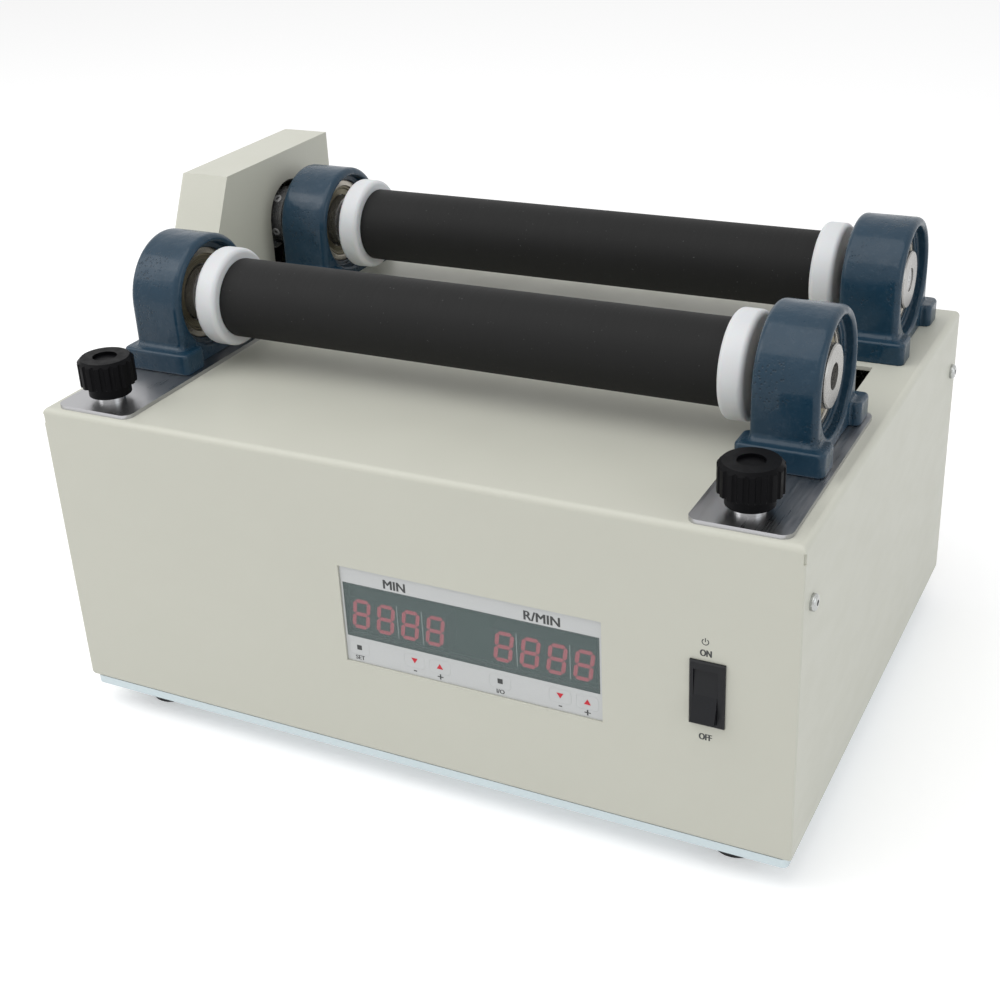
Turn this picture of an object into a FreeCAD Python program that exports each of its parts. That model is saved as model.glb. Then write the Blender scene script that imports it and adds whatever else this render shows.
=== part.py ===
"""Jar mill: two rubber-covered rollers on a sheet-metal hood, turned through a toothed belt.

Millimetres.  While it is modelled, the hood's front left bottom corner is the zero point: X runs to the
right, Y to the back and Z up.  Every piece is moved to the datum at the end, which is the middle of the
overall box's bottom face.
"""
import FreeCAD
import Part
import math
import os

Vector = FreeCAD.Vector

# Fits and gaps
running_fit = 0.05          # radial, shaft in its bore, across a joint
slide_gap = 0.2             # each side, bush or nut in its slot
screw_gap = 0.15            # radial, shank in its clearance hole
seat_gap = 0.3              # between a retaining washer and the sheet it slides under
cutout_gap = 0.2            # each side, a panel piece in its cut-out

# Hood: one folded sheet
hood_width = 386.0
hood_depth = 280.0
hood_height = 156.5
hood_sheet = 2.0
hood_bend = 3.0             # outer radius of the folds round the top
hood_corner = 0.8           # outer radius of the upright corners
hood_foot_bend = 2.5        # outer radius of the folds above the base plate
hood_flange = 18.0          # return flanges on the base plate
corner_flange = 20.0        # upright return flanges behind the side panels
corner_flange_low = 24.0
corner_flange_high = 142.0
relief_width = 1.0          # relief slits at the upper ends of the upright corners
relief_height = 5.0

# Base plate and feet
base_thickness = 4.5
base_inset_front = 1.2
base_inset_side = 2.0
base_corner = 3.0
foot_radius = 12.2
foot_foot_radius = 11.4
foot_height = 13.5
foot_inset_x = 32.5
foot_inset_y = 26.0
foot_recess_radius = 6.0
foot_washer_land = 3.5      # rubber left above the screw head

# Screws
m3_radius = 1.5
m4_radius = 2.0
m5_radius = 2.5
m10_radius = 5.0
pan_head_radius = 3.8
pan_head_height = 2.5
pan_drive_radius = 1.3
pan_drive_depth = 1.2
foot_head_radius = 4.6
foot_head_height = 3.2
cap_head_radius = 4.2
cap_head_height = 4.0
grub_socket_radius = 1.2
grub_socket_depth = 2.0
hex_head_across_flats = 17.0
hex_head_height = 6.4
m10_washer_radius = 12.0
m10_washer_thickness = 2.0
base_screw_inset = 9.0      # from the hood's front and back
base_screw_inset_side = 19.7
side_screw_inset = 11.5
side_screw_height = 126.0

# Lines of the housings, slots, plates and knobs, one near each side
line_inset = 29.25
line_left = line_inset
line_right = hood_width - line_inset

# Slots in the hood's top
slot_width = 13.5
slot_front = 12.0
slot_end_margin = 3.0       # of the plate's back edge past the slot's end

# Slide plates
plate_width = 44.0
plate_front = 3.0
plate_back = 130.0
plate_thickness = 2.0
plate_corner = 5.0
plate_end_gap = 2.6         # left before the rear housings at the end of the travel

# Bearing housings
front_axis_y = 91.7
rear_axis_inset = 50.9      # from the hood's back
shaft_height = 31.7         # shaft axis above the housing's seat
housing_ring_radius = 31.0
housing_width = 30.0
housing_edge = 3.0
housing_flare = 3.5
pad_width = 40.0
pad_length = 16.0
pad_height = 11.0
pad_corner = 3.0
pad_edge = 1.5
base_length = 73.0
bolt_spacing = 52.0
bolt_depth = 14.0
recess_radius = 26.5
recess_depth = 5.5
recess_chamfer = 1.0

# Insert bearings
race_outer_radius = 23.5
race_width = 17.0
race_groove_radius = 19.8
shield_thickness = 1.0
shield_inset = 1.5
inner_ring_radius = 14.4
inner_race_radius = 16.2
inner_race_width = 11.0
inner_ring_length = 31.0
inner_ring_short = 12.7     # from the bearing's middle to the ring's right end
inner_ring_chamfer = 0.6
inner_grub_inset = 4.6
inner_grub_angles = (35.0, 155.0)

# Rollers
shaft_radius = 6.0
shaft_centre_radius = 1.6
front_shaft_recess = 6.0    # right end behind the inner ring's face
rear_shaft_recess = 0.5
core_radius = 17.0
sleeve_radius = 20.0
collar_radius = 25.0
collar_width = 12.0
collar_wall = 2.5
collar_edge = 2.5
collar_inset = 49.5         # outer face of a collar from the hood's side

# Belt drive
belt_pitch = 5.0
driven_teeth = 24
driver_teeth = 16
belt_teeth = 66
belt_width = 9.0
belt_middle_x = -17.0
belt_band = 1.0             # without its teeth
belt_pitch_line = 0.5       # above the pulleys' teeth
belt_tooth_height = 1.2
groove_mouth = 2.85         # between two teeth of a pulley
groove_floor = 2.0
belt_fit = 0.1
belt_side_gap = 0.5
pulley_flange = 1.0
pulley_flange_rise = 1.6    # beyond the belt's back
driven_hub_radius = 16.8
hub_reach = 3.6             # beyond the belt cover's wall
hub_grub_inset = 4.8
hub_grub_angles = (129.0, 200.0)
driver_hub_radius = 9.0
driver_hub_length = 6.0
driver_grub_inset = 3.0
drive_slope = 0.5           # sideways run of the belt's line for each unit down

# Gear motor
output_radius = 5.0
output_depth = 20.0
output_end_gap = 1.0
gearhead_size = 60.0
gearhead_length = 45.0
gearhead_corner = 6.0
gearhead_boss_radius = 17.0
motor_screw_spacing = 48.0
motor_screw_length = 12.0
motor_size = 56.0
motor_corner = 10.0
motor_length = 82.0
motor_cap_length = 14.0
motor_cap_radius = 26.0
motor_fin_pitch = 8.0
motor_fin_depth = 2.0
motor_fin_gap = 3.0
bracket_gap = 6.0
bracket_thickness = 3.0
bracket_margin = 8.0
bracket_foot = 42.0
bracket_screw_spacing = 56.0
hood_shaft_hole_gap = 2.0

# Belt cover
cover_sheet = 1.6
cover_left = -30.0
cover_wall_right = 1.6
cover_top = 227.0
cover_back_reach = 45.9      # behind the rear axis
cover_top_reach = 58.1       # before the rear axis
cover_slope = 0.5
cover_knee = 110.0
cover_bottom = 45.0
cover_edge = 2.5
cover_slot_radius = 21.5
ear_length = 12.0
ear_width = 20.0
ear_screw_inset = 6.0

# Clamp knobs
knob_y = 19.0
knob_boss_radius = 6.8
knob_boss_height = 3.5
knob_skirt_radius = 10.5
knob_skirt_height = 5.5
knob_radius = 13.8
knob_height = 13.5
knob_flutes = 18
knob_flute_radius = 1.5
knob_flute_offset = 0.7
knob_chamfer = 1.8
knob_recess_radius = 6.0
knob_recess_depth = 1.6
stud_radius = 4.0
stud_pitch = 1.25
stud_hold = 10.0            # stud held in the knob
stud_beyond = 3.0
nut_length = 30.0
nut_width = 30.0
nut_height = 7.0
nut_neck_length = 16.0
knob_turn_degrees = 360.0

# Display
display_inset = 87.8        # from the hood's right side
display_width = 132.2
display_low = 50.5
display_high = 102.2
display_recess = 1.0
fascia_rim = 5.0
fascia_rim_thickness = 2.5
window_low = 64.5
window_high = 93.5
window_side = 1.2
window_thickness = 1.5
window_ledge = 1.5
module_length = 51.8
module_insets = (2.9, 77.2)  # from the display's left edge
module_low = 66.3
module_high = 85.5
module_depth = 8.0
module_digits = 4
digit_width = 9.6
digit_height = 16.0
digit_recess = 0.5
board_gap = 6.3             # between the fascia's rim and the board
board_thickness = 1.6
spacer_radius = 2.4
spacer_inset = 2.6

# Keys
key_names = ("key_shift", "key_timer_down", "key_timer_up", "key_run_stop", "key_speed_down", "key_speed_up")
key_insets = (7.0, 37.0, 50.4, 81.6, 111.5, 124.8)     # from the display's left edge
key_z = 58.3
key_width = 10.8
key_tall = 7.4
key_corner = 2.0
key_gap = 0.06
key_flange = 0.8
key_flange_rim = 0.7
key_travel = 0.4
key_stem_gap = 0.5
switch_size = 6.0

# Power switch
bezel_inset = 31.3          # from the hood's right side
bezel_width = 15.9
bezel_low = 62.5
bezel_high = 94.5
bezel_rise = 1.5
bezel_edge = 0.6
switch_open_inset = 34.4    # from the hood's right side
switch_open_width = 10.9
switch_open_low = 64.5
switch_open_high = 90.5
switch_wall = 1.2
switch_body_depth = 22.0
switch_cavity_depth = 10.0
terminal_length = 8.0
terminal_width = 4.8
terminal_thickness = 0.8
rocker_pivot_y = 0.5
rocker_end_gap = 0.34
rocker_side_gap = 0.15
rocker_tip_angle = 64.3     # from straight out, of the end that stands proud
rocker_turn = 22.0
rocker_dip_y = -1.4
rocker_back = 5.0
rocker_pin_radius = 1.5
rocker_pin_length = 1.0

# Mains inlet
inlet_inset = 56.0          # from the hood's right side
inlet_z = 66.0
inlet_flange_width = 50.0
inlet_flange_height = 24.0
inlet_flange_thickness = 3.0
inlet_body_width = 28.0
inlet_body_height = 20.0
inlet_body_depth = 24.0
inlet_socket_width = 24.4
inlet_socket_height = 16.4
inlet_socket_depth = 20.5
inlet_socket_chamfer = 4.5
inlet_screw_spacing = 40.0
pin_width = 4.0
pin_thickness = 2.0
pin_spacing = 7.0
pin_rise = 2.0
pin_length = 14.0
pin_hold = 2.5

# Electronics on the base plate
supply_inset_x = 41.0       # from the hood's right side
supply_inset_y = 30.0       # from the hood's back
supply_width = 129.0
supply_depth = 90.0
supply_height = 36.0
supply_edge = 2.0
terminal_block_height = 14.0
terminal_block_depth = 12.0
driver_inset_x = 62.0       # from the hood's right side
driver_gap = 28.0           # before the power supply
driver_width = 110.0
driver_depth = 80.0
driver_standoff = 10.0
heatsink_width = 60.0
heatsink_height = 32.0
heatsink_fins = 5
fin_thickness = 2.5
fin_pitch = 6.0
capacitor_radius = 9.0
capacitor_height = 26.0

# Vents in the hood's back
vent_count = 7
vent_width = 3.0
vent_height = 36.0
vent_pitch = 9.0
vent_x = 170.0
vent_low = 84.0

# Values that follow from the sizes above
rear_axis_y = hood_depth - rear_axis_inset
carriage_travel = rear_axis_y - base_length / 2 - plate_back - plate_end_gap
slot_back = plate_back + carriage_travel - slot_end_margin
cover_back = rear_axis_y + cover_back_reach
cover_top_front = rear_axis_y - cover_top_reach
display_right = hood_width - display_inset
display_left = display_right - display_width
module_spans = tuple((display_left + inset, display_left + inset + module_length) for inset in module_insets)
key_x = tuple(display_left + inset for inset in key_insets)
bezel_right = hood_width - bezel_inset
bezel_left = bezel_right - bezel_width
switch_open_right = hood_width - switch_open_inset
switch_open_left = switch_open_right - switch_open_width
inlet_x = hood_width - inlet_inset
supply_x = hood_width - supply_inset_x - supply_width
supply_y = hood_depth - supply_inset_y - supply_depth
driver_x = hood_width - driver_inset_x - driver_width
driver_y = supply_y - driver_gap - driver_depth
hood_ceiling = hood_height - hood_sheet
plate_top = hood_height + plate_thickness
front_axis_z = plate_top + shaft_height
rear_axis_z = hood_height + shaft_height
floor_z = -base_thickness - foot_height
belt_right = belt_middle_x + belt_width / 2
belt_left = belt_middle_x - belt_width / 2
pulley_right = belt_right + belt_side_gap + pulley_flange
pulley_left = belt_left - belt_side_gap - pulley_flange
driven_pitch_radius = driven_teeth * belt_pitch / (2 * math.pi)
driver_pitch_radius = driver_teeth * belt_pitch / (2 * math.pi)
inner_ring_long = inner_ring_length - inner_ring_short
bracket_left = hood_sheet + bracket_gap
gearhead_left = bracket_left + bracket_thickness


def centre_distance():
    """Distance of the two pulleys' axes for a belt of belt_teeth teeth, and the belt's slope angle."""
    distance = belt_teeth * belt_pitch / 2
    for _ in range(60):
        lean = math.asin((driven_pitch_radius - driver_pitch_radius) / distance)
        wrapped = driver_pitch_radius * (math.pi - 2 * lean) + driven_pitch_radius * (math.pi + 2 * lean)
        distance = (belt_teeth * belt_pitch - wrapped) / (2 * math.cos(lean))
    return distance, lean


drive_distance, belt_lean = centre_distance()
drive_down = 1 / math.hypot(drive_slope, 1)
drive_forward = drive_slope * drive_down
motor_axis_y = rear_axis_y - drive_distance * drive_forward
motor_axis_z = rear_axis_z - drive_distance * drive_down


# Helpers

def box(x0, x1, y0, y1, z0, z1):
    """Block between two corners."""
    return Part.makeBox(x1 - x0, y1 - y0, z1 - z0, Vector(x0, y0, z0))


def rod_x(y, z, radius, x0, x1):
    """Round bar along X."""
    return Part.makeCylinder(radius, x1 - x0, Vector(x0, y, z), Vector(1, 0, 0))


def rod_y(x, z, radius, y0, y1):
    """Round bar along Y."""
    return Part.makeCylinder(radius, y1 - y0, Vector(x, y0, z), Vector(0, 1, 0))


def rod_z(x, y, radius, z0, z1):
    """Round bar along Z."""
    return Part.makeCylinder(radius, z1 - z0, Vector(x, y, z0))


def prism_x(points, x0, x1):
    """Polygon of (y, z) points, carried along X."""
    wire = Part.makePolygon([Vector(x0, y, z) for y, z in points + points[:1]])
    return Part.Face(wire).extrude(Vector(x1 - x0, 0, 0))


def turned(profile, y, z):
    """Closed profile of (x, radius) points, turned about an axis along X."""
    wire = Part.makePolygon([Vector(x, 0, r) for x, r in profile + profile[:1]])
    ring = Part.Face(wire).revolve(Vector(0, 0, 0), Vector(1, 0, 0), 360)
    ring.translate(Vector(0, y, z))
    return ring


def edges_where(shape, test):
    """Edges whose every vertex passes a test."""
    return [e for e in shape.Edges if e.Vertexes and all(test(v.Point) for v in e.Vertexes)]


def near(a, b):
    """True where two lengths are the same."""
    return abs(a - b) < 1e-4


def upright_edges(shape):
    """Straight edges along Z."""
    return [e for e in shape.Edges if len(e.Vertexes) == 2
            and near(e.Vertexes[0].X, e.Vertexes[1].X) and near(e.Vertexes[0].Y, e.Vertexes[1].Y)]


def fuse(first, *others):
    """One solid of several."""
    return first.fuse(list(others)).removeSplitter()


def several(shapes):
    """Separate solids kept together."""
    return Part.makeCompound(shapes)


def pan_screw(radius, length, head_radius, head_height):
    """Pan-head screw, its head on Z = 0 and above and its shank below."""
    rounding = min(head_height * 0.6, head_radius * 0.5)
    head = Part.makeCylinder(head_radius, head_height)
    head = head.makeFillet(rounding, edges_where(head, lambda p: near(p.z, head_height)))
    drive = Part.makeCylinder(pan_drive_radius, pan_drive_depth, Vector(0, 0, head_height - pan_drive_depth))
    shank = Part.makeCylinder(radius, length, Vector(0, 0, -length))
    return fuse(head.cut(drive), shank)


def placed(shape, point, axis):
    """Copy of a shape made along +Z, stood at a point along an axis."""
    copy = shape.copy()
    copy.Placement = FreeCAD.Placement(point, FreeCAD.Rotation(Vector(0, 0, 1), axis))
    return copy


# Hood

def display_cutout():
    """Cut-out for the fascia in the hood's front."""
    return box(display_left - cutout_gap, display_right + cutout_gap, -hood_bend, 2 * hood_bend,
               display_low - cutout_gap, display_high + cutout_gap)


def switch_cutout():
    """Cut-out for the power switch in the hood's front."""
    gap = switch_wall + cutout_gap
    return box(switch_open_left - gap, switch_open_right + gap, -hood_bend, 2 * hood_bend,
               switch_open_low - gap, switch_open_high + gap)


def inlet_cutout():
    """Cut-out for the mains inlet in the hood's back."""
    half_width = inlet_body_width / 2 + cutout_gap
    half_height = inlet_body_height / 2 + cutout_gap
    return box(inlet_x - half_width, inlet_x + half_width, hood_depth - 2 * hood_bend, hood_depth + hood_bend,
               inlet_z - half_height, inlet_z + half_height)


def housing_bolt_places(axis_y):
    """X and Y of the four bolts under a pair of housings."""
    return [(x, axis_y + side * bolt_spacing / 2) for x in (line_left, line_right) for side in (-1, 1)]


def base_screw_places():
    """X and Y of the screws that hold the hood's flanges to the base plate."""
    columns = (base_screw_inset_side, hood_width / 2, hood_width - base_screw_inset_side)
    return [(x, y) for x in columns for y in (base_screw_inset, hood_depth - base_screw_inset)]


def side_screw_places():
    """Point and outward direction of the screws in the hood's side panels."""
    rows = (side_screw_inset, hood_depth - side_screw_inset)
    return [(Vector(x, y, side_screw_height), Vector(way, 0, 0))
            for x, way in ((0, -1), (hood_width, 1)) for y in rows]


def hood_shell():
    """Folded box, open below, with the return flanges that stand on the base plate."""
    outer = Part.makeBox(hood_width, hood_depth, hood_height)
    outer = outer.makeFillet(hood_corner, upright_edges(outer))
    top = edges_where(outer, lambda p: near(p.z, hood_height))
    outer = outer.makeFillet(hood_bend, top)
    sill = [e for e in edges_where(outer, lambda p: near(p.z, 0)) if near(e.Vertexes[0].Y, e.Vertexes[1].Y)]
    outer = outer.makeFillet(hood_foot_bend, sill)
    inner = box(hood_sheet, hood_width - hood_sheet, hood_sheet, hood_depth - hood_sheet,
                hood_sheet, hood_ceiling)
    inside_bend = hood_bend - hood_sheet
    inner = inner.makeFillet(inside_bend, edges_where(inner, lambda p: near(p.z, hood_ceiling)))
    mouth = box(hood_sheet, hood_width - hood_sheet, hood_flange, hood_depth - hood_flange,
                -hood_sheet, 2 * hood_sheet)
    return outer.cut([inner, mouth])


def corner_flanges():
    """Upright flanges of the front and back panels, behind the side panels."""
    flanges = []
    for x0 in (hood_sheet, hood_width - 2 * hood_sheet):
        for y0 in (hood_sheet, hood_depth - hood_sheet - corner_flange):
            flanges.append(box(x0, x0 + hood_sheet, y0, y0 + corner_flange,
                               corner_flange_low, corner_flange_high))
    return flanges


def top_slot(x):
    """Slot that the front housing's bushes and the clamp nut run in."""
    half = slot_width / 2
    return box(x - half, x + half, slot_front, slot_back, hood_ceiling - hood_sheet, hood_height + hood_sheet)


def corner_reliefs():
    """Slits where the side panels' folds end, at the top of the front corners."""
    top = hood_height - hood_bend
    return [box(x0, x0 + hood_bend, -relief_width, relief_width, top - relief_height, top)
            for x0 in (-2 * relief_width, hood_width + 2 * relief_width - hood_bend)]


def vents():
    """Vent slots in the hood's back."""
    slots = []
    for i in range(vent_count):
        x = vent_x + i * vent_pitch
        slots.append(box(x, x + vent_width, hood_depth - 2 * hood_sheet, hood_depth + hood_sheet,
                         vent_low, vent_low + vent_height))
    return slots


def make_hood():
    """Hood with all its cut-outs and holes."""
    shell = fuse(hood_shell(), *corner_flanges())
    cuts = [display_cutout(), switch_cutout(), inlet_cutout(), top_slot(line_left), top_slot(line_right)]
    cuts += vents() + corner_reliefs()
    cuts.append(rod_x(motor_axis_y, motor_axis_z, output_radius + 2 * hood_shaft_hole_gap,
                      -hood_sheet, 2 * hood_sheet))
    for x, y in housing_bolt_places(rear_axis_y):
        cuts.append(rod_z(x, y, m10_radius + screw_gap, hood_ceiling - hood_sheet, hood_height + hood_sheet))
    for x, y in base_screw_places():
        cuts.append(rod_z(x, y, m4_radius + screw_gap, -hood_sheet, 2 * hood_sheet))
    for point, way in side_screw_places():
        hole = Part.makeCylinder(m4_radius + screw_gap, 4 * hood_sheet)
        cuts.append(placed(hole, point - way * 3 * hood_sheet, way))
    for y, z in ear_screw_places():
        cuts.append(rod_x(y, z, m4_radius + screw_gap, -hood_sheet, 2 * hood_sheet))
    for side in (-1, 1):
        cuts.append(rod_y(inlet_x + side * inlet_screw_spacing / 2, inlet_z, m3_radius + screw_gap,
                          hood_depth - 2 * hood_sheet, hood_depth + hood_sheet))
    return shell.cut(cuts)


# Base plate, feet and the screws of the case

def foot_places():
    """X and Y of the feet."""
    return [(x, y) for x in (foot_inset_x, hood_width - foot_inset_x)
            for y in (foot_inset_y, hood_depth - foot_inset_y)]


def bracket_screw_places():
    """X and Y of the screws through the base plate into the motor bracket's foot."""
    x = bracket_left + bracket_foot / 2
    return [(x, motor_axis_y + side * bracket_screw_spacing / 2) for side in (-1, 1)]


def make_base_plate():
    """Thick plate with the holes of the screws and feet."""
    plate = box(base_inset_side, hood_width - base_inset_side,
                base_inset_front, hood_depth - base_inset_front, -base_thickness, 0)
    plate = plate.makeFillet(base_corner, upright_edges(plate))
    low, high = -2 * base_thickness, base_thickness
    cuts = [rod_z(x, y, m4_radius + screw_gap, low, high) for x, y in base_screw_places()]
    cuts += [rod_z(x, y, m4_radius + screw_gap, low, high) for x, y in bracket_screw_places()]
    cuts += [rod_z(x, y, m5_radius + screw_gap, low, high) for x, y in foot_places()]
    return plate.cut(cuts)


def make_feet():
    """Rubber feet, each with the recess of its screw."""
    feet = []
    for x, y in foot_places():
        body = Part.makeCone(foot_foot_radius, foot_radius, foot_height, Vector(x, y, floor_z))
        recess = rod_z(x, y, foot_recess_radius, floor_z, floor_z + foot_height - foot_washer_land)
        hole = rod_z(x, y, m5_radius + screw_gap, floor_z, -base_thickness)
        feet.append(body.cut([recess, hole]))
    return several(feet)


def make_foot_screws():
    """Screws of the feet."""
    screw = pan_screw(m5_radius, foot_washer_land + base_thickness, foot_head_radius, foot_head_height)
    z = -base_thickness - foot_washer_land
    return several([placed(screw, Vector(x, y, z), Vector(0, 0, -1)) for x, y in foot_places()])


def make_case_screws():
    """Equal pan-head screws of the hood, the motor bracket and the belt cover."""
    down = Vector(0, 0, -1)
    base_screw = pan_screw(m4_radius, base_thickness + hood_sheet, pan_head_radius, pan_head_height)
    bracket_screw = pan_screw(m4_radius, base_thickness + bracket_thickness, pan_head_radius, pan_head_height)
    side_screw = pan_screw(m4_radius, 2 * hood_sheet, pan_head_radius, pan_head_height)
    ear_screw = pan_screw(m4_radius, cover_sheet + hood_sheet, pan_head_radius, pan_head_height)
    screws = [placed(base_screw, Vector(x, y, -base_thickness), down) for x, y in base_screw_places()]
    screws += [placed(bracket_screw, Vector(x, y, -base_thickness), down) for x, y in bracket_screw_places()]
    screws += [placed(side_screw, point, way) for point, way in side_screw_places()]
    screws += [placed(ear_screw, Vector(-cover_sheet, y, z), Vector(-1, 0, 0)) for y, z in ear_screw_places()]
    return several(screws)


# Slide plates

def make_slide_plate(x):
    """Stainless plate under a front housing."""
    plate = box(x - plate_width / 2, x + plate_width / 2, plate_front, plate_back, hood_height, plate_top)
    plate = plate.makeFillet(plate_corner, upright_edges(plate))
    low, high = hood_height - plate_thickness, plate_top + plate_thickness
    holes = [rod_z(x, front_axis_y + side * bolt_spacing / 2, m10_radius + screw_gap, low, high)
             for side in (-1, 1)]
    holes.append(rod_z(x, knob_y, stud_radius + screw_gap, low, high))
    return plate.cut(holes)


# Bearing housings

def housing_outline():
    """Side outline of a housing's ring and legs, seat on Z = 0 and shaft over Y = 0."""
    ring = housing_ring_radius
    toe = ring + housing_flare
    knee = pad_height + housing_flare
    bend = housing_flare * (1 - math.sqrt(0.5))
    edges = [Part.Arc(Vector(0, ring, shaft_height), Vector(0, 0, shaft_height + ring),
                      Vector(0, -ring, shaft_height)).toShape()]
    for side in (-1, 1):
        edges.append(Part.makeLine(Vector(0, side * ring, shaft_height), Vector(0, side * ring, knee)))
        middle = Vector(0, side * (ring + bend), pad_height + bend)
        bend_end = Vector(0, side * toe, pad_height)
        edges.append(Part.Arc(Vector(0, side * ring, knee), middle, bend_end).toShape())
        edges.append(Part.makeLine(Vector(0, side * toe, pad_height), Vector(0, side * toe, 0)))
    edges.append(Part.makeLine(Vector(0, -toe, 0), Vector(0, toe, 0)))
    return Part.Wire(Part.__sortEdges__(edges))


def housing_casting():
    """Cast housing at its own zero: seat on Z = 0, shaft along X over the middle."""
    body = Part.Face(housing_outline()).extrude(Vector(housing_width, 0, 0))
    body.translate(Vector(-housing_width / 2, 0, 0))
    knee = pad_height + housing_flare / 2
    rim = edges_where(body, lambda p: near(abs(p.x), housing_width / 2)
                      and near(abs(p.y), housing_ring_radius) and p.z > knee)
    body = body.makeFillet(housing_edge, rim)
    pads = []
    for side in (-1, 1):
        outer = side * base_length / 2
        inner = side * (base_length / 2 - pad_length)
        pad = box(-pad_width / 2, pad_width / 2, min(outer, inner), max(outer, inner), 0, pad_height)
        pad = pad.makeFillet(pad_corner, upright_edges(pad))
        pad = pad.makeFillet(pad_edge, edges_where(pad, lambda p: near(p.z, pad_height)))
        pads.append(pad)
    casting = fuse(body, *pads)
    half = housing_width / 2
    web = half - recess_depth
    mouth = recess_radius + recess_chamfer
    bore = turned([(-half - recess_chamfer, 0), (-half - recess_chamfer, mouth + recess_chamfer),
                   (-half + recess_chamfer, recess_radius), (-web, recess_radius), (-web, race_outer_radius),
                   (web, race_outer_radius), (web, recess_radius), (half - recess_chamfer, recess_radius),
                   (half + recess_chamfer, mouth + recess_chamfer), (half + recess_chamfer, 0)],
                  0, shaft_height)
    holes = [rod_z(0, side * bolt_spacing / 2, m10_radius, 0, bolt_depth) for side in (-1, 1)]
    return casting.cut([bore] + holes)


def make_housing(casting, x, axis_y, seat_z):
    """One housing in its place."""
    housing = casting.copy()
    housing.translate(Vector(x, axis_y, seat_z))
    return housing


# Insert bearings

def outer_race(x, y, z):
    """Outer race with a shield on each side."""
    half = race_width / 2
    lip = inner_ring_radius + running_fit
    face = half - shield_inset
    back = face - shield_thickness
    groove = race_groove_radius
    return turned([(x - half, race_outer_radius), (x + half, race_outer_radius), (x + half, groove),
                   (x + face, groove), (x + face, lip), (x + back, lip), (x + back, groove),
                   (x - back, groove), (x - back, lip), (x - face, lip), (x - face, groove),
                   (x - half, groove)], y, z)


def radial_rod(x, y, z, radius, inner, outer, angle):
    """Round bar that points outward from an axis along X, at an angle above the front."""
    turn = math.radians(angle)
    way = Vector(0, -math.cos(turn), math.sin(turn))
    return Part.makeCylinder(radius, outer - inner, Vector(x, y, z) + way * inner, way)


def inner_ring(x, y, z):
    """Inner race with its wide ring to the left and its screw holes."""
    left = x - inner_ring_long
    right = x + inner_ring_short
    edge = inner_ring_chamfer
    half = inner_race_width / 2
    ring = turned([(left, shaft_radius), (left, inner_ring_radius - edge), (left + edge, inner_ring_radius),
                   (x - half, inner_ring_radius), (x - half, inner_race_radius),
                   (x + half, inner_race_radius), (x + half, inner_ring_radius),
                   (right - edge, inner_ring_radius), (right, inner_ring_radius - edge),
                   (right, shaft_radius)], y, z)
    holes = [radial_rod(left + inner_grub_inset, y, z, m5_radius, 0, collar_radius, angle)
             for angle in inner_grub_angles]
    return ring.cut(holes)


def grub_screw(x, y, z, outer, angle):
    """Grub screw that bears on the shaft, with its socket."""
    screw = radial_rod(x, y, z, m5_radius, shaft_radius, outer, angle)
    floor, mouth = outer - grub_socket_depth, outer + grub_socket_depth
    socket = radial_rod(x, y, z, grub_socket_radius, floor, mouth, angle)
    seat = rod_x(y, z, shaft_radius, x - collar_radius, x + collar_radius)
    return screw.cut([socket, seat])


def ring_grub_screws(y, z):
    """Grub screws of one roller's two inner rings."""
    outer = inner_ring_radius - inner_ring_chamfer
    return [grub_screw(x - inner_ring_long + inner_grub_inset, y, z, outer, a)
            for x in (line_left, line_right) for a in inner_grub_angles]


# Rollers

def roller_shaft(left, right, y, z):
    """Turned shaft with the thick core under the sleeve."""
    core_left = collar_inset + collar_wall
    core_right = hood_width - core_left
    point = shaft_centre_radius
    return turned([(left + point, 0), (left, point), (left, shaft_radius), (core_left, shaft_radius),
                   (core_left, core_radius), (core_right, core_radius), (core_right, shaft_radius),
                   (right, shaft_radius), (right, point), (right - point, 0)], y, z)


def roller_sleeve(y, z):
    """Rubber sleeve between the collars."""
    left = collar_inset + collar_width
    return turned([(left, core_radius), (left, sleeve_radius), (hood_width - left, sleeve_radius),
                   (hood_width - left, core_radius)], y, z)


def collar(outer_x, way, y, z):
    """Plastic collar, a cup over the core's end, with rounded edges."""
    inner_x = outer_x + way * collar_width
    blank = rod_x(y, z, collar_radius, min(outer_x, inner_x), max(outer_x, inner_x))
    blank = blank.makeFillet(collar_edge, [e for e in blank.Edges if len(e.Vertexes) == 1])
    wall_x = outer_x + way * collar_wall
    cup = rod_x(y, z, core_radius, min(wall_x, inner_x), max(wall_x, inner_x))
    return blank.cut([cup, rod_x(y, z, shaft_radius, 0, hood_width)])


def make_collars(y, z):
    """Collars at both ends of a roller."""
    return several([collar(collar_inset, 1, y, z), collar(hood_width - collar_inset, -1, y, z)])


# Belt drive

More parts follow.
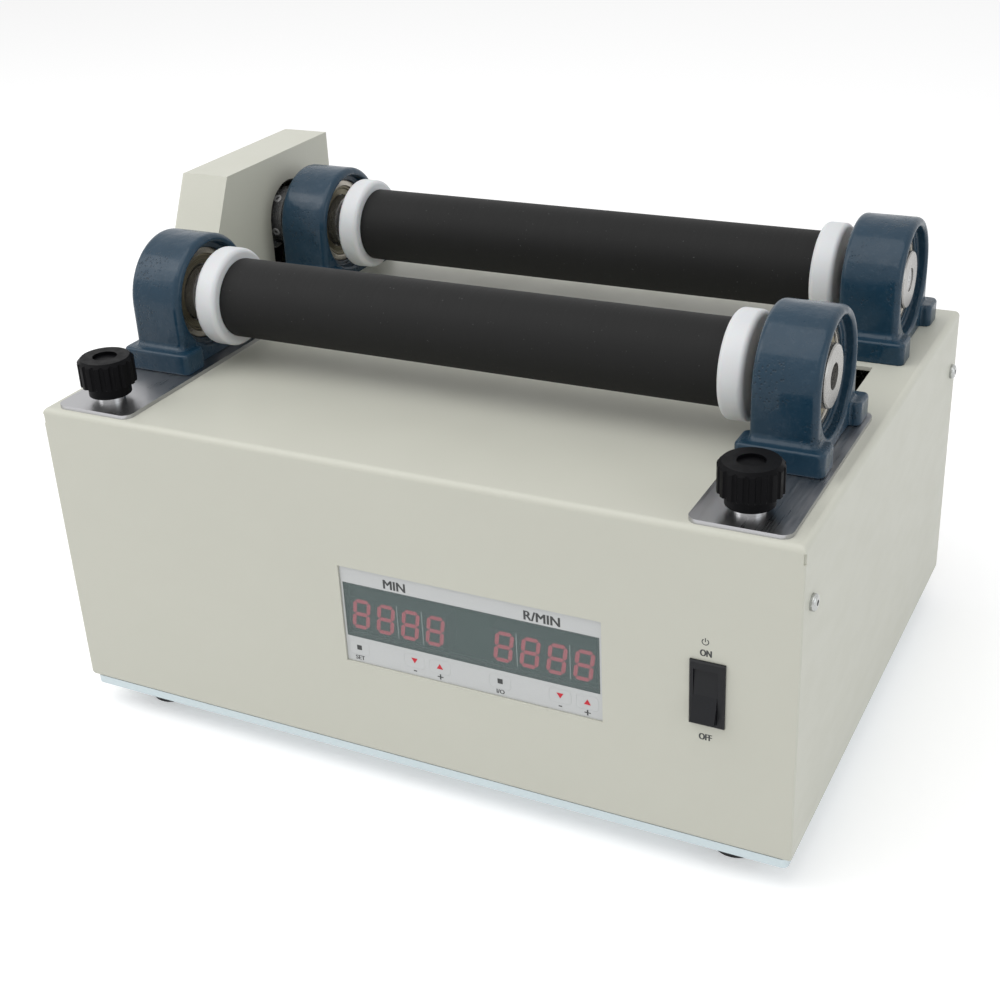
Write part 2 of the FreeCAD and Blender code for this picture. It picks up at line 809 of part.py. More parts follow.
def belt_point(distance):
    """Point on the belt's pitch line, as (y, z), and the outward direction there."""
    along = (-drive_forward, -drive_down)
    across = (drive_down, -drive_forward)
    lean = belt_lean
    span = drive_distance * math.cos(lean)
    small_arc = driver_pitch_radius * (math.pi - 2 * lean)
    large_arc = driven_pitch_radius * (math.pi + 2 * lean)
    distance = distance % (2 * span + small_arc + large_arc)

    def outward(angle):
        return (along[0] * math.sin(angle) + across[0] * math.cos(angle),
                along[1] * math.sin(angle) + across[1] * math.cos(angle))

    driven = (rear_axis_y, rear_axis_z)
    driver = (motor_axis_y, motor_axis_z)
    if distance < span:
        way = outward(lean)
        run = (along[0] * math.cos(lean) - across[0] * math.sin(lean),
               along[1] * math.cos(lean) - across[1] * math.sin(lean))
        return (driven[0] + driven_pitch_radius * way[0] + run[0] * distance,
                driven[1] + driven_pitch_radius * way[1] + run[1] * distance), way
    distance -= span
    if distance < small_arc:
        way = outward(lean + distance / driver_pitch_radius)
        return (driver[0] + driver_pitch_radius * way[0], driver[1] + driver_pitch_radius * way[1]), way
    distance -= small_arc
    if distance < span:
        way = outward(math.pi - lean)
        run = (-along[0] * math.cos(lean) - across[0] * math.sin(lean),
               -along[1] * math.cos(lean) - across[1] * math.sin(lean))
        return (driver[0] + driver_pitch_radius * way[0] + run[0] * distance,
                driver[1] + driver_pitch_radius * way[1] + run[1] * distance), way
    distance -= span
    way = outward(math.pi - lean + distance / driven_pitch_radius)
    return (driven[0] + driven_pitch_radius * way[0], driven[1] + driven_pitch_radius * way[1]), way


def belt_offset(distance, inward):
    """Point at a depth inside the pitch line."""
    (y, z), way = belt_point(distance)
    return y - way[0] * inward, z - way[1] * inward


def belt_marks():
    """Distances along the belt at which it reaches the driver and the driven pulley."""
    span = drive_distance * math.cos(belt_lean)
    small_arc = driver_pitch_radius * (math.pi - 2 * belt_lean)
    return span, 2 * span + small_arc


def belt_loop(inward, x0, x1):
    """Solid inside the belt's loop at a depth from its pitch line."""
    driver_start, driven_start = belt_marks()
    driver_end = driven_start - driver_start
    loop = belt_teeth * belt_pitch
    marks = (0, driver_start, (driver_start + driver_end) / 2, driver_end, driven_start,
             (driven_start + loop) / 2)
    a, b, c, d, e, f = (Vector(x0, *belt_offset(mark, inward)) for mark in marks)
    wire = Part.Wire([Part.makeLine(a, b), Part.Arc(b, c, d).toShape(), Part.makeLine(d, e),
                      Part.Arc(e, f, a).toShape()])
    return Part.Face(wire).extrude(Vector(x1 - x0, 0, 0))


def make_belt():
    """Belt round the teeth of both pulleys, as a plain band without teeth of its own."""
    outside = belt_loop(belt_pitch_line - belt_band, belt_left, belt_right)
    return outside.cut(belt_loop(belt_pitch_line, belt_left - belt_width, belt_right + belt_width))


def toothed_wheel(teeth, y, z):
    """Toothed rim with its two flanges."""
    pitch_radius = teeth * belt_pitch / (2 * math.pi)
    tip = pitch_radius - belt_pitch_line - belt_fit
    floor = tip - belt_tooth_height
    outline = []
    for k in range(teeth):
        angle = k * 2 * math.pi / teeth
        way = (math.cos(angle), math.sin(angle))
        side = (-way[1], way[0])
        for half, radius in ((-groove_mouth / 2, tip), (-groove_floor / 2, floor),
                             (groove_floor / 2, floor), (groove_mouth / 2, tip)):
            reach = math.sqrt(radius ** 2 - half ** 2)
            outline.append((y + way[0] * reach + side[0] * half, z + way[1] * reach + side[1] * half))
    flange = pitch_radius - belt_pitch_line + belt_band + pulley_flange_rise
    rim = prism_x(outline, pulley_left + pulley_flange, pulley_right - pulley_flange)
    return fuse(rim, rod_x(y, z, flange, pulley_left, pulley_left + pulley_flange),
                rod_x(y, z, flange, pulley_right - pulley_flange, pulley_right))


def hub_end():
    """Right end of the driven pulley's hub, just past the cover's wall."""
    return cover_wall_right + hub_reach


def make_driven_pulley():
    """Pulley on the rear shaft, with the long hub that shows beside the housing."""
    wheel = toothed_wheel(driven_teeth, rear_axis_y, rear_axis_z)
    hub = rod_x(rear_axis_y, rear_axis_z, driven_hub_radius, pulley_right, hub_end())
    holes = [radial_rod(hub_end() - hub_grub_inset, rear_axis_y, rear_axis_z, m5_radius, 0, collar_radius, a)
             for a in hub_grub_angles]
    bore = rod_x(rear_axis_y, rear_axis_z, shaft_radius, pulley_left - belt_width, hub_end() + belt_width)
    return fuse(wheel, hub).cut([bore] + holes)


def rear_grub_screws():
    """Grub screws on the rear roller: inner rings and pulley hub."""
    screws = ring_grub_screws(rear_axis_y, rear_axis_z)
    x = hub_end() - hub_grub_inset
    outer = driven_hub_radius - inner_ring_chamfer
    return several(screws + [grub_screw(x, rear_axis_y, rear_axis_z, outer, angle)
                             for angle in hub_grub_angles])


def make_driver_pulley():
    """Pulley on the motor's output shaft."""
    wheel = toothed_wheel(driver_teeth, motor_axis_y, motor_axis_z)
    y, z = motor_axis_y, motor_axis_z
    hub = rod_x(y, z, driver_hub_radius, pulley_right, pulley_right + driver_hub_length)
    bore = rod_x(y, z, output_radius, pulley_left - belt_width, pulley_right + belt_width)
    grub = radial_rod(pulley_right + driver_grub_inset, y, z, m4_radius, 0, collar_radius,
                      inner_grub_angles[0])
    return fuse(wheel, hub).cut([bore, grub])


def make_driver_grub():
    """Grub screw of the motor pulley."""
    x = pulley_right + driver_grub_inset
    screw = radial_rod(x, motor_axis_y, motor_axis_z, m4_radius, output_radius - 1, driver_hub_radius,
                       inner_grub_angles[0])
    return screw.cut(rod_x(motor_axis_y, motor_axis_z, output_radius, x - belt_width, x + belt_width))


# Gear motor

def rounded_block_x(y, z, size, corner, x0, x1):
    """Square block along X with rounded long edges."""
    half = size / 2
    block = box(x0, x1, y - half, y + half, z - half, z + half)
    along = [e for e in block.Edges if near(e.Vertexes[0].Y, e.Vertexes[1].Y)
             and near(e.Vertexes[0].Z, e.Vertexes[1].Z)]
    return block.makeFillet(corner, along)


def motor_screw_places():
    """Y and Z of the screws through the bracket into the gearhead."""
    half = motor_screw_spacing / 2
    return [(motor_axis_y + a * half, motor_axis_z + b * half) for a in (-1, 1) for b in (-1, 1)]


def make_gearhead():
    """Square gearhead with its boss, output bore and screw holes."""
    y, z = motor_axis_y, motor_axis_z
    block = rounded_block_x(y, z, gearhead_size, gearhead_corner,
                            gearhead_left, gearhead_left + gearhead_length)
    boss = rod_x(y, z, gearhead_boss_radius, bracket_left, gearhead_left)
    bore = rod_x(y, z, output_radius + running_fit, bracket_left - 1, bracket_left + output_depth)
    holes = [rod_x(a, b, m5_radius, gearhead_left, gearhead_left + motor_screw_length)
             for a, b in motor_screw_places()]
    return fuse(block, boss).cut([bore] + holes)


def make_motor():
    """Finned motor body with its round end cap."""
    y, z = motor_axis_y, motor_axis_z
    left = gearhead_left + gearhead_length
    body = rounded_block_x(y, z, motor_size, motor_corner, left, left + motor_length)
    grooves = []
    x = left + motor_fin_pitch
    while x + motor_fin_gap < left + motor_length - motor_fin_pitch:
        wide = rounded_block_x(y, z, motor_size + 4, motor_corner, x, x + motor_fin_gap)
        core = rounded_block_x(y, z, motor_size - 2 * motor_fin_depth, motor_corner - motor_fin_depth, x,
                               x + motor_fin_gap)
        grooves.append(wide.cut(core))
        x += motor_fin_pitch
    cap = rod_x(y, z, motor_cap_radius, left + motor_length, left + motor_length + motor_cap_length)
    return fuse(body.cut(grooves), cap)


def make_motor_bracket():
    """Angle bracket that carries the gearhead on the base plate."""
    half = gearhead_size / 2 + bracket_margin
    y, z = motor_axis_y, motor_axis_z
    upright = box(bracket_left, gearhead_left, y - half, y + half, 0, z + half)
    foot = box(bracket_left, bracket_left + bracket_foot, y - half, y + half, 0, bracket_thickness)
    cuts = [rod_x(y, z, gearhead_boss_radius + cutout_gap, bracket_left - 1, gearhead_left + 1)]
    cuts += [rod_x(a, b, m5_radius + screw_gap, bracket_left - 1, gearhead_left + 1)
             for a, b in motor_screw_places()]
    cuts += [rod_z(a, b, m4_radius + screw_gap, -1, bracket_thickness + 1) for a, b in bracket_screw_places()]
    return fuse(upright, foot).cut(cuts)


def make_motor_screws():
    """Cap screws through the bracket into the gearhead."""
    screws = []
    for y, z in motor_screw_places():
        shank = rod_x(y, z, m5_radius, bracket_left, gearhead_left + motor_screw_length)
        head = rod_x(y, z, cap_head_radius, bracket_left - cap_head_height, bracket_left)
        socket = rod_x(y, z, grub_socket_radius * 1.6, bracket_left - cap_head_height,
                       bracket_left - cap_head_height / 2)
        screws.append(fuse(shank, head).cut(socket))
    return several(screws)


def make_output_shaft():
    """Output shaft of the gearhead."""
    return rod_x(motor_axis_y, motor_axis_z, output_radius, pulley_left - output_end_gap,
                 bracket_left + output_depth - output_end_gap)


# Belt cover

def cover_outline():
    """Side outline of the belt cover as (y, z) points."""
    knee_y = cover_top_front - cover_slope * (cover_top - cover_knee)
    return [(cover_top_front, cover_top), (cover_back, cover_top), (cover_back, cover_bottom),
            (knee_y, cover_bottom), (knee_y, cover_knee)]


def cover_front_y():
    """Front of the cover below its knee."""
    return cover_outline()[-1][0]


def ear_places():
    """Lower and upper corners of the ears, as (y0, y1, z0, z1)."""
    front = cover_front_y()
    rise = (cover_knee - cover_bottom - 2 * ear_width) / 3
    ears = [(front - ear_length, front + cover_sheet, cover_bottom + k * (rise + ear_width) + rise,
             cover_bottom + k * (rise + ear_width) + rise + ear_width) for k in (0, 1)]
    run = (cover_back - front - 2 * ear_width) / 3
    ears += [(front + k * (run + ear_width) + run, front + k * (run + ear_width) + run + ear_width,
              cover_bottom - ear_length, cover_bottom + cover_sheet) for k in (0, 1)]
    return ears


def ear_screw_places():
    """Y and Z of the belt cover's screws."""
    places = []
    for y0, y1, z0, z1 in ear_places():
        if z1 > cover_bottom + 2 * cover_sheet:
            places.append((y0 + ear_screw_inset, (z0 + z1) / 2))
        else:
            places.append(((y0 + y1) / 2, z0 + ear_screw_inset))
    return places


def make_belt_cover():
    """Sheet case over the belt, closed by the hood's side below and by its own wall above."""
    outline = cover_outline()
    outer = prism_x(outline, cover_left, cover_wall_right)
    rim = [e for e in outer.Edges if near(e.Vertexes[0].X, cover_left) and near(e.Vertexes[-1].X, cover_left)]
    outer = outer.makeFillet(cover_edge, rim)
    corners = [Vector(cover_left + cover_sheet, y, z) for y, z in outline + outline[:1]]
    face = Part.Face(Part.makePolygon(corners))
    hollow = face.makeOffset2D(-cover_sheet).extrude(Vector(cover_wall_right - cover_left, 0, 0))
    above = box(cover_left, 0, 0, hood_depth, hood_height, cover_top)
    below = box(cover_left, cover_wall_right + 1, 0, hood_depth, cover_bottom - 1, hood_height)
    shell = outer.cut(hollow.common(fuse(above, below)))
    shell = shell.cut(box(0, 2 * cover_wall_right, 0, hood_depth, 0, hood_height))
    slot = fuse(rod_x(rear_axis_y, rear_axis_z, cover_slot_radius, -cover_sheet, 2 * cover_wall_right),
                box(-cover_sheet, 2 * cover_wall_right, rear_axis_y - cover_slot_radius,
                    rear_axis_y + cover_slot_radius, hood_height - 1, rear_axis_z))
    shell = shell.cut(slot)
    ears = [box(-cover_sheet, 0, y0, y1, z0, z1) for y0, y1, z0, z1 in ear_places()]
    holes = [rod_x(y, z, m4_radius + screw_gap, -2 * cover_sheet, cover_sheet) for y, z in ear_screw_places()]
    return fuse(shell, *ears).cut(holes)


# Bolts of the housings

def hex_bolt(x, y, head_top, end):
    """Hexagon bolt that points up."""
    radius = hex_head_across_flats / math.sqrt(3)
    turns = [math.radians(60 * k) for k in range(7)]
    corners = [Vector(x + radius * math.cos(a), y + radius * math.sin(a), head_top - hex_head_height)
               for a in turns]
    head = Part.Face(Part.makePolygon(corners)).extrude(Vector(0, 0, hex_head_height))
    return fuse(head, rod_z(x, y, m10_radius, head_top, end))


def m10_washer(x, y, top):
    """Washer under a bolt's head."""
    low = top - m10_washer_thickness
    return rod_z(x, y, m10_washer_radius, low, top).cut(rod_z(x, y, m10_radius + screw_gap, low - 1, top + 1))


def make_rear_bolts():
    """Bolts and washers under the rear housings."""
    shapes = []
    for x, y in housing_bolt_places(rear_axis_y):
        shapes.append(hex_bolt(x, y, hood_ceiling - m10_washer_thickness, hood_height + bolt_depth))
        shapes.append(m10_washer(x, y, hood_ceiling))
    return several(shapes)


def make_front_bolts():
    """Bolts under the front housings, with the washers that slide below the hood's top."""
    washer_top = hood_ceiling - seat_gap
    shapes = []
    for x, y in housing_bolt_places(front_axis_y):
        shapes.append(hex_bolt(x, y, washer_top - m10_washer_thickness, plate_top + bolt_depth))
        shapes.append(m10_washer(x, y, washer_top))
    return several(shapes)


def make_guide_bushes():
    """Bushes that run in the slots and keep the washers off the sheet."""
    radius = slot_width / 2 - slide_gap
    low = hood_ceiling - seat_gap
    return several([rod_z(x, y, radius, low, hood_height).cut(
        rod_z(x, y, m10_radius + screw_gap, low - 1, hood_height + 1))
        for x, y in housing_bolt_places(front_axis_y)])


# Clamp knobs

def make_knob(x):
    """Fluted knob with its plain skirt."""
    low = plate_top + knob_boss_height
    waist = low + knob_skirt_height
    top = waist + knob_height
    body = rod_z(x, knob_y, knob_radius, waist, top)
    body = body.makeChamfer(knob_chamfer, edges_where(body, lambda p: near(p.z, top)))
    grooves = []
    for k in range(knob_flutes):
        angle = 2 * math.pi * k / knob_flutes
        reach = knob_radius + knob_flute_offset
        grooves.append(rod_z(x + reach * math.cos(angle), knob_y + reach * math.sin(angle), knob_flute_radius,
                             waist - 1, top + 1))
    recess = rod_z(x, knob_y, knob_recess_radius, top - knob_recess_depth, top + 1)
    skirt = rod_z(x, knob_y, knob_skirt_radius, low, waist)
    stud = rod_z(x, knob_y, stud_radius, low - 1, low + stud_hold)
    return fuse(body.cut(grooves + [recess]), skirt).cut(stud)


def make_knob_stud(x):
    """Stud of a knob with the bright boss that bears on the slide plate."""
    end = hood_ceiling - nut_height - stud_pitch * knob_turn_degrees / 360 - stud_beyond
    stud = rod_z(x, knob_y, stud_radius, end, plate_top + knob_boss_height + stud_hold)
    return fuse(stud, rod_z(x, knob_y, knob_boss_radius, plate_top, plate_top + knob_boss_height))


def make_clamp_nut(x):
    """Nut below the hood's top with the neck that keeps it from turning in the slot."""
    half_neck = slot_width / 2 - slide_gap
    plate = box(x - nut_width / 2, x + nut_width / 2, knob_y - nut_length / 2, knob_y + nut_length / 2,
                hood_ceiling - nut_height, hood_ceiling)
    neck_front = slot_front + slide_gap
    neck = box(x - half_neck, x + half_neck, neck_front, neck_front + nut_neck_length,
               hood_ceiling, hood_height - seat_gap)
    bore = rod_z(x, knob_y, stud_radius + running_fit, hood_ceiling - 2 * nut_height, hood_height)
    return fuse(plate, neck).cut(bore)


# Display

def fascia_front():
    """Y of the fascia's face."""
    return display_recess


def fascia_back():
    """Y of the back of the fascia's rim."""
    return hood_sheet + fascia_rim_thickness


def key_hole(x, gap, y0, y1):
    """Rounded upright through the fascia at a key."""
    half_width = key_width / 2 + gap
    half_tall = key_tall / 2 + gap
    block = box(x - half_width, x + half_width, y0, y1, key_z - half_tall, key_z + half_tall)
    along = [e for e in block.Edges if near(e.Vertexes[0].X, e.Vertexes[1].X)
             and near(e.Vertexes[0].Z, e.Vertexes[1].Z)]
    return block.makeFillet(key_corner + gap, along)


def make_fascia():
    """Fascia that stands in the hood's cut-out, with its rim behind the sheet."""
    front = box(display_left, display_right, fascia_front(), hood_sheet + 1, display_low, display_high)
    rim = box(display_left - fascia_rim, display_right + fascia_rim, hood_sheet, fascia_back(),
              display_low - fascia_rim, display_high + fascia_rim)
    seat = box(display_left + window_side - cutout_gap / 2, display_right - window_side + cutout_gap / 2,
               fascia_front() - 1, fascia_front() + window_thickness,
               window_low - cutout_gap / 2, window_high + cutout_gap / 2)
    sight = box(display_left + window_side + window_ledge, display_right - window_side - window_ledge,
                fascia_front(), fascia_back() + 1, window_low + window_ledge, window_high - window_ledge)
    keys = [key_hole(x, key_gap, fascia_front() - 1, fascia_back() + 1) for x in key_x]
    return fuse(front, rim).cut([seat, sight] + keys)


def make_window():
    """Smoked window over the digits."""
    return box(display_left + window_side, display_right - window_side, fascia_front(),
               fascia_front() + window_thickness, window_low, window_high)


def board_front():
    """Y of the display board's face."""
    return fascia_back() + board_gap


def make_modules():
    """Two modules of digits, on the board."""
    modules = []
    for left, right in module_spans:
        face = board_front() - module_depth
        module = box(left, right, face, board_front(), module_low, module_high)
        pitch = (right - left) / module_digits
        middle = (module_low + module_high) / 2
        for k in range(module_digits):
            x = left + pitch * (k + 0.5)
            module = module.cut(box(x - digit_width / 2, x + digit_width / 2, face, face + digit_recess,
                                    middle - digit_height / 2, middle + digit_height / 2))
        modules.append(module)
    return several(modules)


def make_display_board():
    """Board behind the fascia with the key switches."""
    board = box(display_left - fascia_rim, display_right + fascia_rim, board_front(),
                board_front() + board_thickness, display_low - fascia_rim, display_high + fascia_rim)
    stem_front = fascia_back() + key_flange + key_stem_gap + key_travel
    half = switch_size / 2
    switches = [box(x - half, x + half, stem_front, board_front(), key_z - half, key_z + half) for x in key_x]
    return fuse(board, *switches)


def make_spacers():
    """Spacers of the display board and of the motor driver."""
    spacers = []
    for x in (display_left - fascia_rim + spacer_inset, display_right + fascia_rim - spacer_inset):
        for z in (display_low - fascia_rim + spacer_inset, display_high + fascia_rim - spacer_inset):
            spacers.append(rod_y(x, z, spacer_radius, fascia_back(), board_front()))
    for x in (driver_x + 2 * spacer_inset, driver_x + driver_width - 2 * spacer_inset):
        for y in (driver_y + 2 * spacer_inset, driver_y + driver_depth - 2 * spacer_inset):
            spacers.append(rod_z(x, y, spacer_radius, 0, driver_standoff))
    return several(spacers)


def make_key(x):
    """Key cap with the flange that holds it behind the fascia."""
    cap = key_hole(x, 0, fascia_front(), fascia_back() + key_flange)
    half_width = key_width / 2 + key_flange_rim
    half_tall = key_tall / 2 + key_flange_rim
    flange = box(x - half_width, x + half_width, fascia_back(), fascia_back() + key_flange,
                 key_z - half_tall, key_z + half_tall)
    start = fascia_back() + key_flange
    stem = rod_y(x, key_z, switch_size / 4, start, start + key_stem_gap)
    return fuse(cap, flange, stem)


# Power switch

def switch_middle_z():
    """Height of the rocker's pivot."""
    return (switch_open_low + switch_open_high) / 2


def make_switch_body():
    """Bezel and body with the rocker's well, pin holes and terminals."""
    bezel = box(bezel_left, bezel_right, -bezel_rise, 0, bezel_low, bezel_high)
    bezel = bezel.makeChamfer(bezel_edge, edges_where(bezel, lambda p: near(p.y, -bezel_rise)))
    body = box(switch_open_left - switch_wall, switch_open_right + switch_wall, -bezel_rise / 2,
               switch_body_depth, switch_open_low - switch_wall, switch_open_high + switch_wall)
    well = box(switch_open_left, switch_open_right, -2 * bezel_rise, switch_cavity_depth,
               switch_open_low, switch_open_high)
    reach = rocker_pin_length + rocker_side_gap
    pins = rod_x(rocker_pivot_y, switch_middle_z(), rocker_pin_radius + running_fit,
                 switch_open_left - reach, switch_open_right + reach)
    middle = (switch_open_left + switch_open_right) / 2
    half = terminal_width / 2
    heights = (switch_open_low + 4, switch_middle_z(), switch_open_high - 5)
    tabs = [box(middle - half, middle + half, switch_body_depth, switch_body_depth + terminal_length,
                z, z + terminal_thickness) for z in heights]
    return fuse(bezel, body, *tabs).cut([well, pins])


def rocker_reach():
    """Distance of the rocker's ends from its pivot."""
    return (switch_open_high - switch_open_low) / 2 - rocker_end_gap


def rocker_point(angle, reach):
    """Point of the rocker's side outline, angle from straight out towards the low end."""
    turn = math.radians(angle)
    return Vector(0, rocker_pivot_y - reach * math.cos(turn), switch_middle_z() - reach * math.sin(turn))


def make_rocker():
    """Rocker with two dished faces, its upper end pressed in."""
    reach = rocker_reach()
    low = rocker_tip_angle
    high = -(rocker_tip_angle + rocker_turn)
    tilt = (low + high) / 2
    dip = rocker_point(tilt, rocker_pivot_y - rocker_dip_y)
    low_tip, high_tip = rocker_point(low, reach), rocker_point(high, reach)
    back_angle = math.degrees(math.acos(-rocker_back / reach))
    low_back, high_back = rocker_point(tilt + back_angle, reach), rocker_point(tilt - back_angle, reach)
    edges = [Part.Arc(low_tip, rocker_point((low + tilt + back_angle) / 2, reach), low_back).toShape(),
             Part.makeLine(low_back, high_back),
             Part.Arc(high_back, rocker_point((high + tilt - back_angle) / 2, reach), high_tip).toShape(),
             Part.makeLine(high_tip, dip), Part.makeLine(dip, low_tip)]
    left = switch_open_left + rocker_side_gap
    right = switch_open_right - rocker_side_gap
    body = Part.Face(Part.Wire(edges)).extrude(Vector(right - left, 0, 0))
    body.translate(Vector(left, 0, 0))
    pins = rod_x(rocker_pivot_y, switch_middle_z(), rocker_pin_radius, left - rocker_pin_length,
                 right + rocker_pin_length)
    return fuse(body, pins)


# Mains inlet

def inlet_block(width, height, y0, y1, chamfer):
    """Block across the inlet's middle with its two lower corners cut away."""
    x0, x1 = inlet_x - width / 2, inlet_x + width / 2
    z0, z1 = inlet_z - height / 2, inlet_z + height / 2
    points = [Vector(x0 + chamfer, y0, z0), Vector(x1 - chamfer, y0, z0), Vector(x1, y0, z0 + chamfer),
              Vector(x1, y0, z1), Vector(x0, y0, z1), Vector(x0, y0, z0 + chamfer),
              Vector(x0 + chamfer, y0, z0)]
    return Part.Face(Part.makePolygon(points)).extrude(Vector(0, y1 - y0, 0))


def inlet_front():
    """Y of the floor of the inlet's socket."""
    return hood_depth + inlet_flange_thickness - inlet_socket_depth


def make_inlet():
    """Flanged mains inlet in the hood's back."""
    half = inlet_flange_width / 2
    flange = box(inlet_x - half, inlet_x + half, hood_depth, hood_depth + inlet_flange_thickness,
                 inlet_z - inlet_flange_height / 2, inlet_z + inlet_flange_height / 2)
    along = [e for e in flange.Edges if near(e.Vertexes[0].X, e.Vertexes[1].X)
             and near(e.Vertexes[0].Z, e.Vertexes[1].Z)]
    flange = flange.makeFillet(inlet_flange_thickness, along)
    body = box(inlet_x - inlet_body_width / 2, inlet_x + inlet_body_width / 2, hood_depth - inlet_body_depth,
               hood_depth, inlet_z - inlet_body_height / 2, inlet_z + inlet_body_height / 2)
    socket = inlet_block(inlet_socket_width, inlet_socket_height, inlet_front(),
                         hood_depth + 2 * inlet_flange_thickness, inlet_socket_chamfer)
    holes = [rod_y(inlet_x + side * inlet_screw_spacing / 2, inlet_z, m3_radius + screw_gap, hood_depth - 1,
                   hood_depth + 2 * inlet_flange_thickness) for side in (-1, 1)]
    slots = [inlet_pin(k, -pin_hold, 0) for k in (-1, 0, 1)]
    return fuse(flange, body).cut([socket] + holes + slots)


def inlet_pin(k, low, high):
    """Part of one pin between two depths from the socket's floor."""
    x = inlet_x + k * pin_spacing
    z = inlet_z + (pin_rise if k == 0 else -pin_rise)
    return box(x - pin_thickness / 2, x + pin_thickness / 2, inlet_front() + low, inlet_front() + high,
               z - pin_width / 2, z + pin_width / 2)


def make_inlet_pins():
    """Three pins in the inlet's socket."""
    return several([inlet_pin(k, -pin_hold, pin_length) for k in (-1, 0, 1)])


def make_inlet_screws():
    """Screws of the inlet's flange."""
    screw = pan_screw(m3_radius, inlet_flange_thickness + hood_sheet, pan_head_radius * 0.75,
                      pan_head_height * 0.7)
    y = hood_depth + inlet_flange_thickness
    places = [Vector(inlet_x + side * inlet_screw_spacing / 2, y, inlet_z) for side in (-1, 1)]
    return several([placed(screw, place, Vector(0, 1, 0)) for place in places])


# Electronics

def make_power_supply():
    """Closed power supply with its terminal block."""
    body = box(supply_x, supply_x + supply_width, supply_y, supply_y + supply_depth, 0, supply_height)
    body = body.makeFillet(supply_edge, edges_where(body, lambda p: near(p.z, supply_height)))
    step = box(supply_x - 1, supply_x + terminal_block_depth, supply_y - 1, supply_y + supply_depth + 1,
               terminal_block_height, supply_height + 1)
    return body.cut(step)


def make_motor_driver():
    """Motor driver board with its heat sink and capacitors."""
    low = driver_standoff
    top = low + board_thickness
    board = box(driver_x, driver_x + driver_width, driver_y, driver_y + driver_depth, low, top)
    start = driver_y + driver_depth / 2 - heatsink_fins * fin_pitch / 2
    sink_x = driver_x + driver_width - heatsink_width - 4 * spacer_inset
    end = start + heatsink_fins * fin_pitch
    sink = [box(sink_x, sink_x + heatsink_width, start, end, top, top + fin_thickness)]
    for k in range(heatsink_fins):
        y = start + k * fin_pitch
        sink.append(box(sink_x, sink_x + heatsink_width, y, y + fin_thickness, top, top + heatsink_height))
    x = driver_x + 2 * capacitor_radius
    caps = [rod_z(x, driver_y + driver_depth / 2 + side * 1.4 * capacitor_radius, capacitor_radius, top,
                  top + capacitor_height) for side in (-1, 1)]
    return fuse(board, *(sink + caps))


# Assembly

def build():
    """Every piece by its name, before it is moved to the datum."""
    casting = housing_casting()
    front = (front_axis_y, front_axis_z)
    rear = (rear_axis_y, rear_axis_z)
    lines = (line_left, line_right)
    left_end = line_left - inner_ring_long
    right_end = line_right + inner_ring_short
    pieces = {
        "base_plate": make_base_plate(),
        "feet": make_feet(),
        "foot_screws": make_foot_screws(),
        "case_screws": make_case_screws(),
        "hood": make_hood(),
        "belt_cover": make_belt_cover(),
        "rear_housing_left": make_housing(casting, line_left, rear_axis_y, hood_height),
        "rear_housing_right": make_housing(casting, line_right, rear_axis_y, hood_height),
        "rear_bearing_races": several([outer_race(x, *rear) for x in lines]),
        "rear_bolts": make_rear_bolts(),
        "motor": make_motor(),
        "gearhead": make_gearhead(),
        "motor_bracket": make_motor_bracket(),
        "motor_screws": make_motor_screws(),
        "display_fascia": make_fascia(),
        "display_window": make_window(),
        "led_modules": make_modules(),
        "display_board": make_display_board(),
        "board_spacers": make_spacers(),
        "switch_body": make_switch_body(),
        "power_inlet": make_inlet(),
        "inlet_pins": make_inlet_pins(),
        "inlet_screws": make_inlet_screws(),
        "power_supply": make_power_supply(),
        "motor_driver": make_motor_driver(),
        "timing_belt": make_belt(),
        "slide_plate_left": make_slide_plate(line_left),
        "slide_plate_right": make_slide_plate(line_right),
        "front_housing_left": make_housing(casting, line_left, front_axis_y, plate_top),
        "front_housing_right": make_housing(casting, line_right, front_axis_y, plate_top),
        "front_bearing_races": several([outer_race(x, *front) for x in lines]),
        "front_bolts": make_front_bolts(),
        "guide_bushes": make_guide_bushes(),
        "front_shaft": roller_shaft(left_end, right_end - front_shaft_recess, *front),
        "front_sleeve": roller_sleeve(*front),
        "front_collars": make_collars(*front),
        "front_inner_rings": several([inner_ring(x, *front) for x in lines]),
        "front_grub_screws": several(ring_grub_screws(*front)),
        "rear_shaft": roller_shaft(pulley_left - output_end_gap, right_end - rear_shaft_recess, *rear),
        "rear_sleeve": roller_sleeve(*rear),
        "rear_collars": make_collars(*rear),
        "rear_inner_rings": several([inner_ring(x, *rear) for x in lines]),
        "rear_grub_screws": rear_grub_screws(),
        "driven_pulley": make_driven_pulley(),
        "output_shaft": make_output_shaft(),
        "driver_pulley": make_driver_pulley(),
        "driver_grub_screw": make_driver_grub(),
        "knob_left": make_knob(line_left),
        "knob_stud_left": make_knob_stud(line_left),
        "knob_right": make_knob(line_right),
        "knob_stud_right": make_knob_stud(line_right),
        "clamp_nut_left": make_clamp_nut(line_left),
        "clamp_nut_right": make_clamp_nut(line_right),
        "rocker": make_rocker(),
    }
    for name, x in zip(key_names, key_x):
        pieces[name] = make_key(x)
    return pieces


def overall_box(pieces):
    """Box round the outermost pieces."""
    outermost = ("hood", "belt_cover", "feet", "case_screws", "switch_body", "rocker", "power_inlet",
                 "inlet_screws")
    whole = FreeCAD.BoundBox()
    for name in outermost:
        whole.add(pieces[name].optimalBoundingBox(False, False))
    return whole


pieces = build()
whole = overall_box(pieces)
datum = Vector((whole.XMin + whole.XMax) / 2, (whole.YMin + whole.YMax) / 2, whole.ZMin)

os.makedirs("parts", exist_ok=True)
for name, piece in pieces.items():
    piece.translate(-datum)
    piece.exportStep("parts/" + name + ".step")
lengths = [round(length, 2) for length in (whole.XLength, whole.YLength, whole.ZLength)]
print(len(pieces), "pieces;", "box", *lengths)
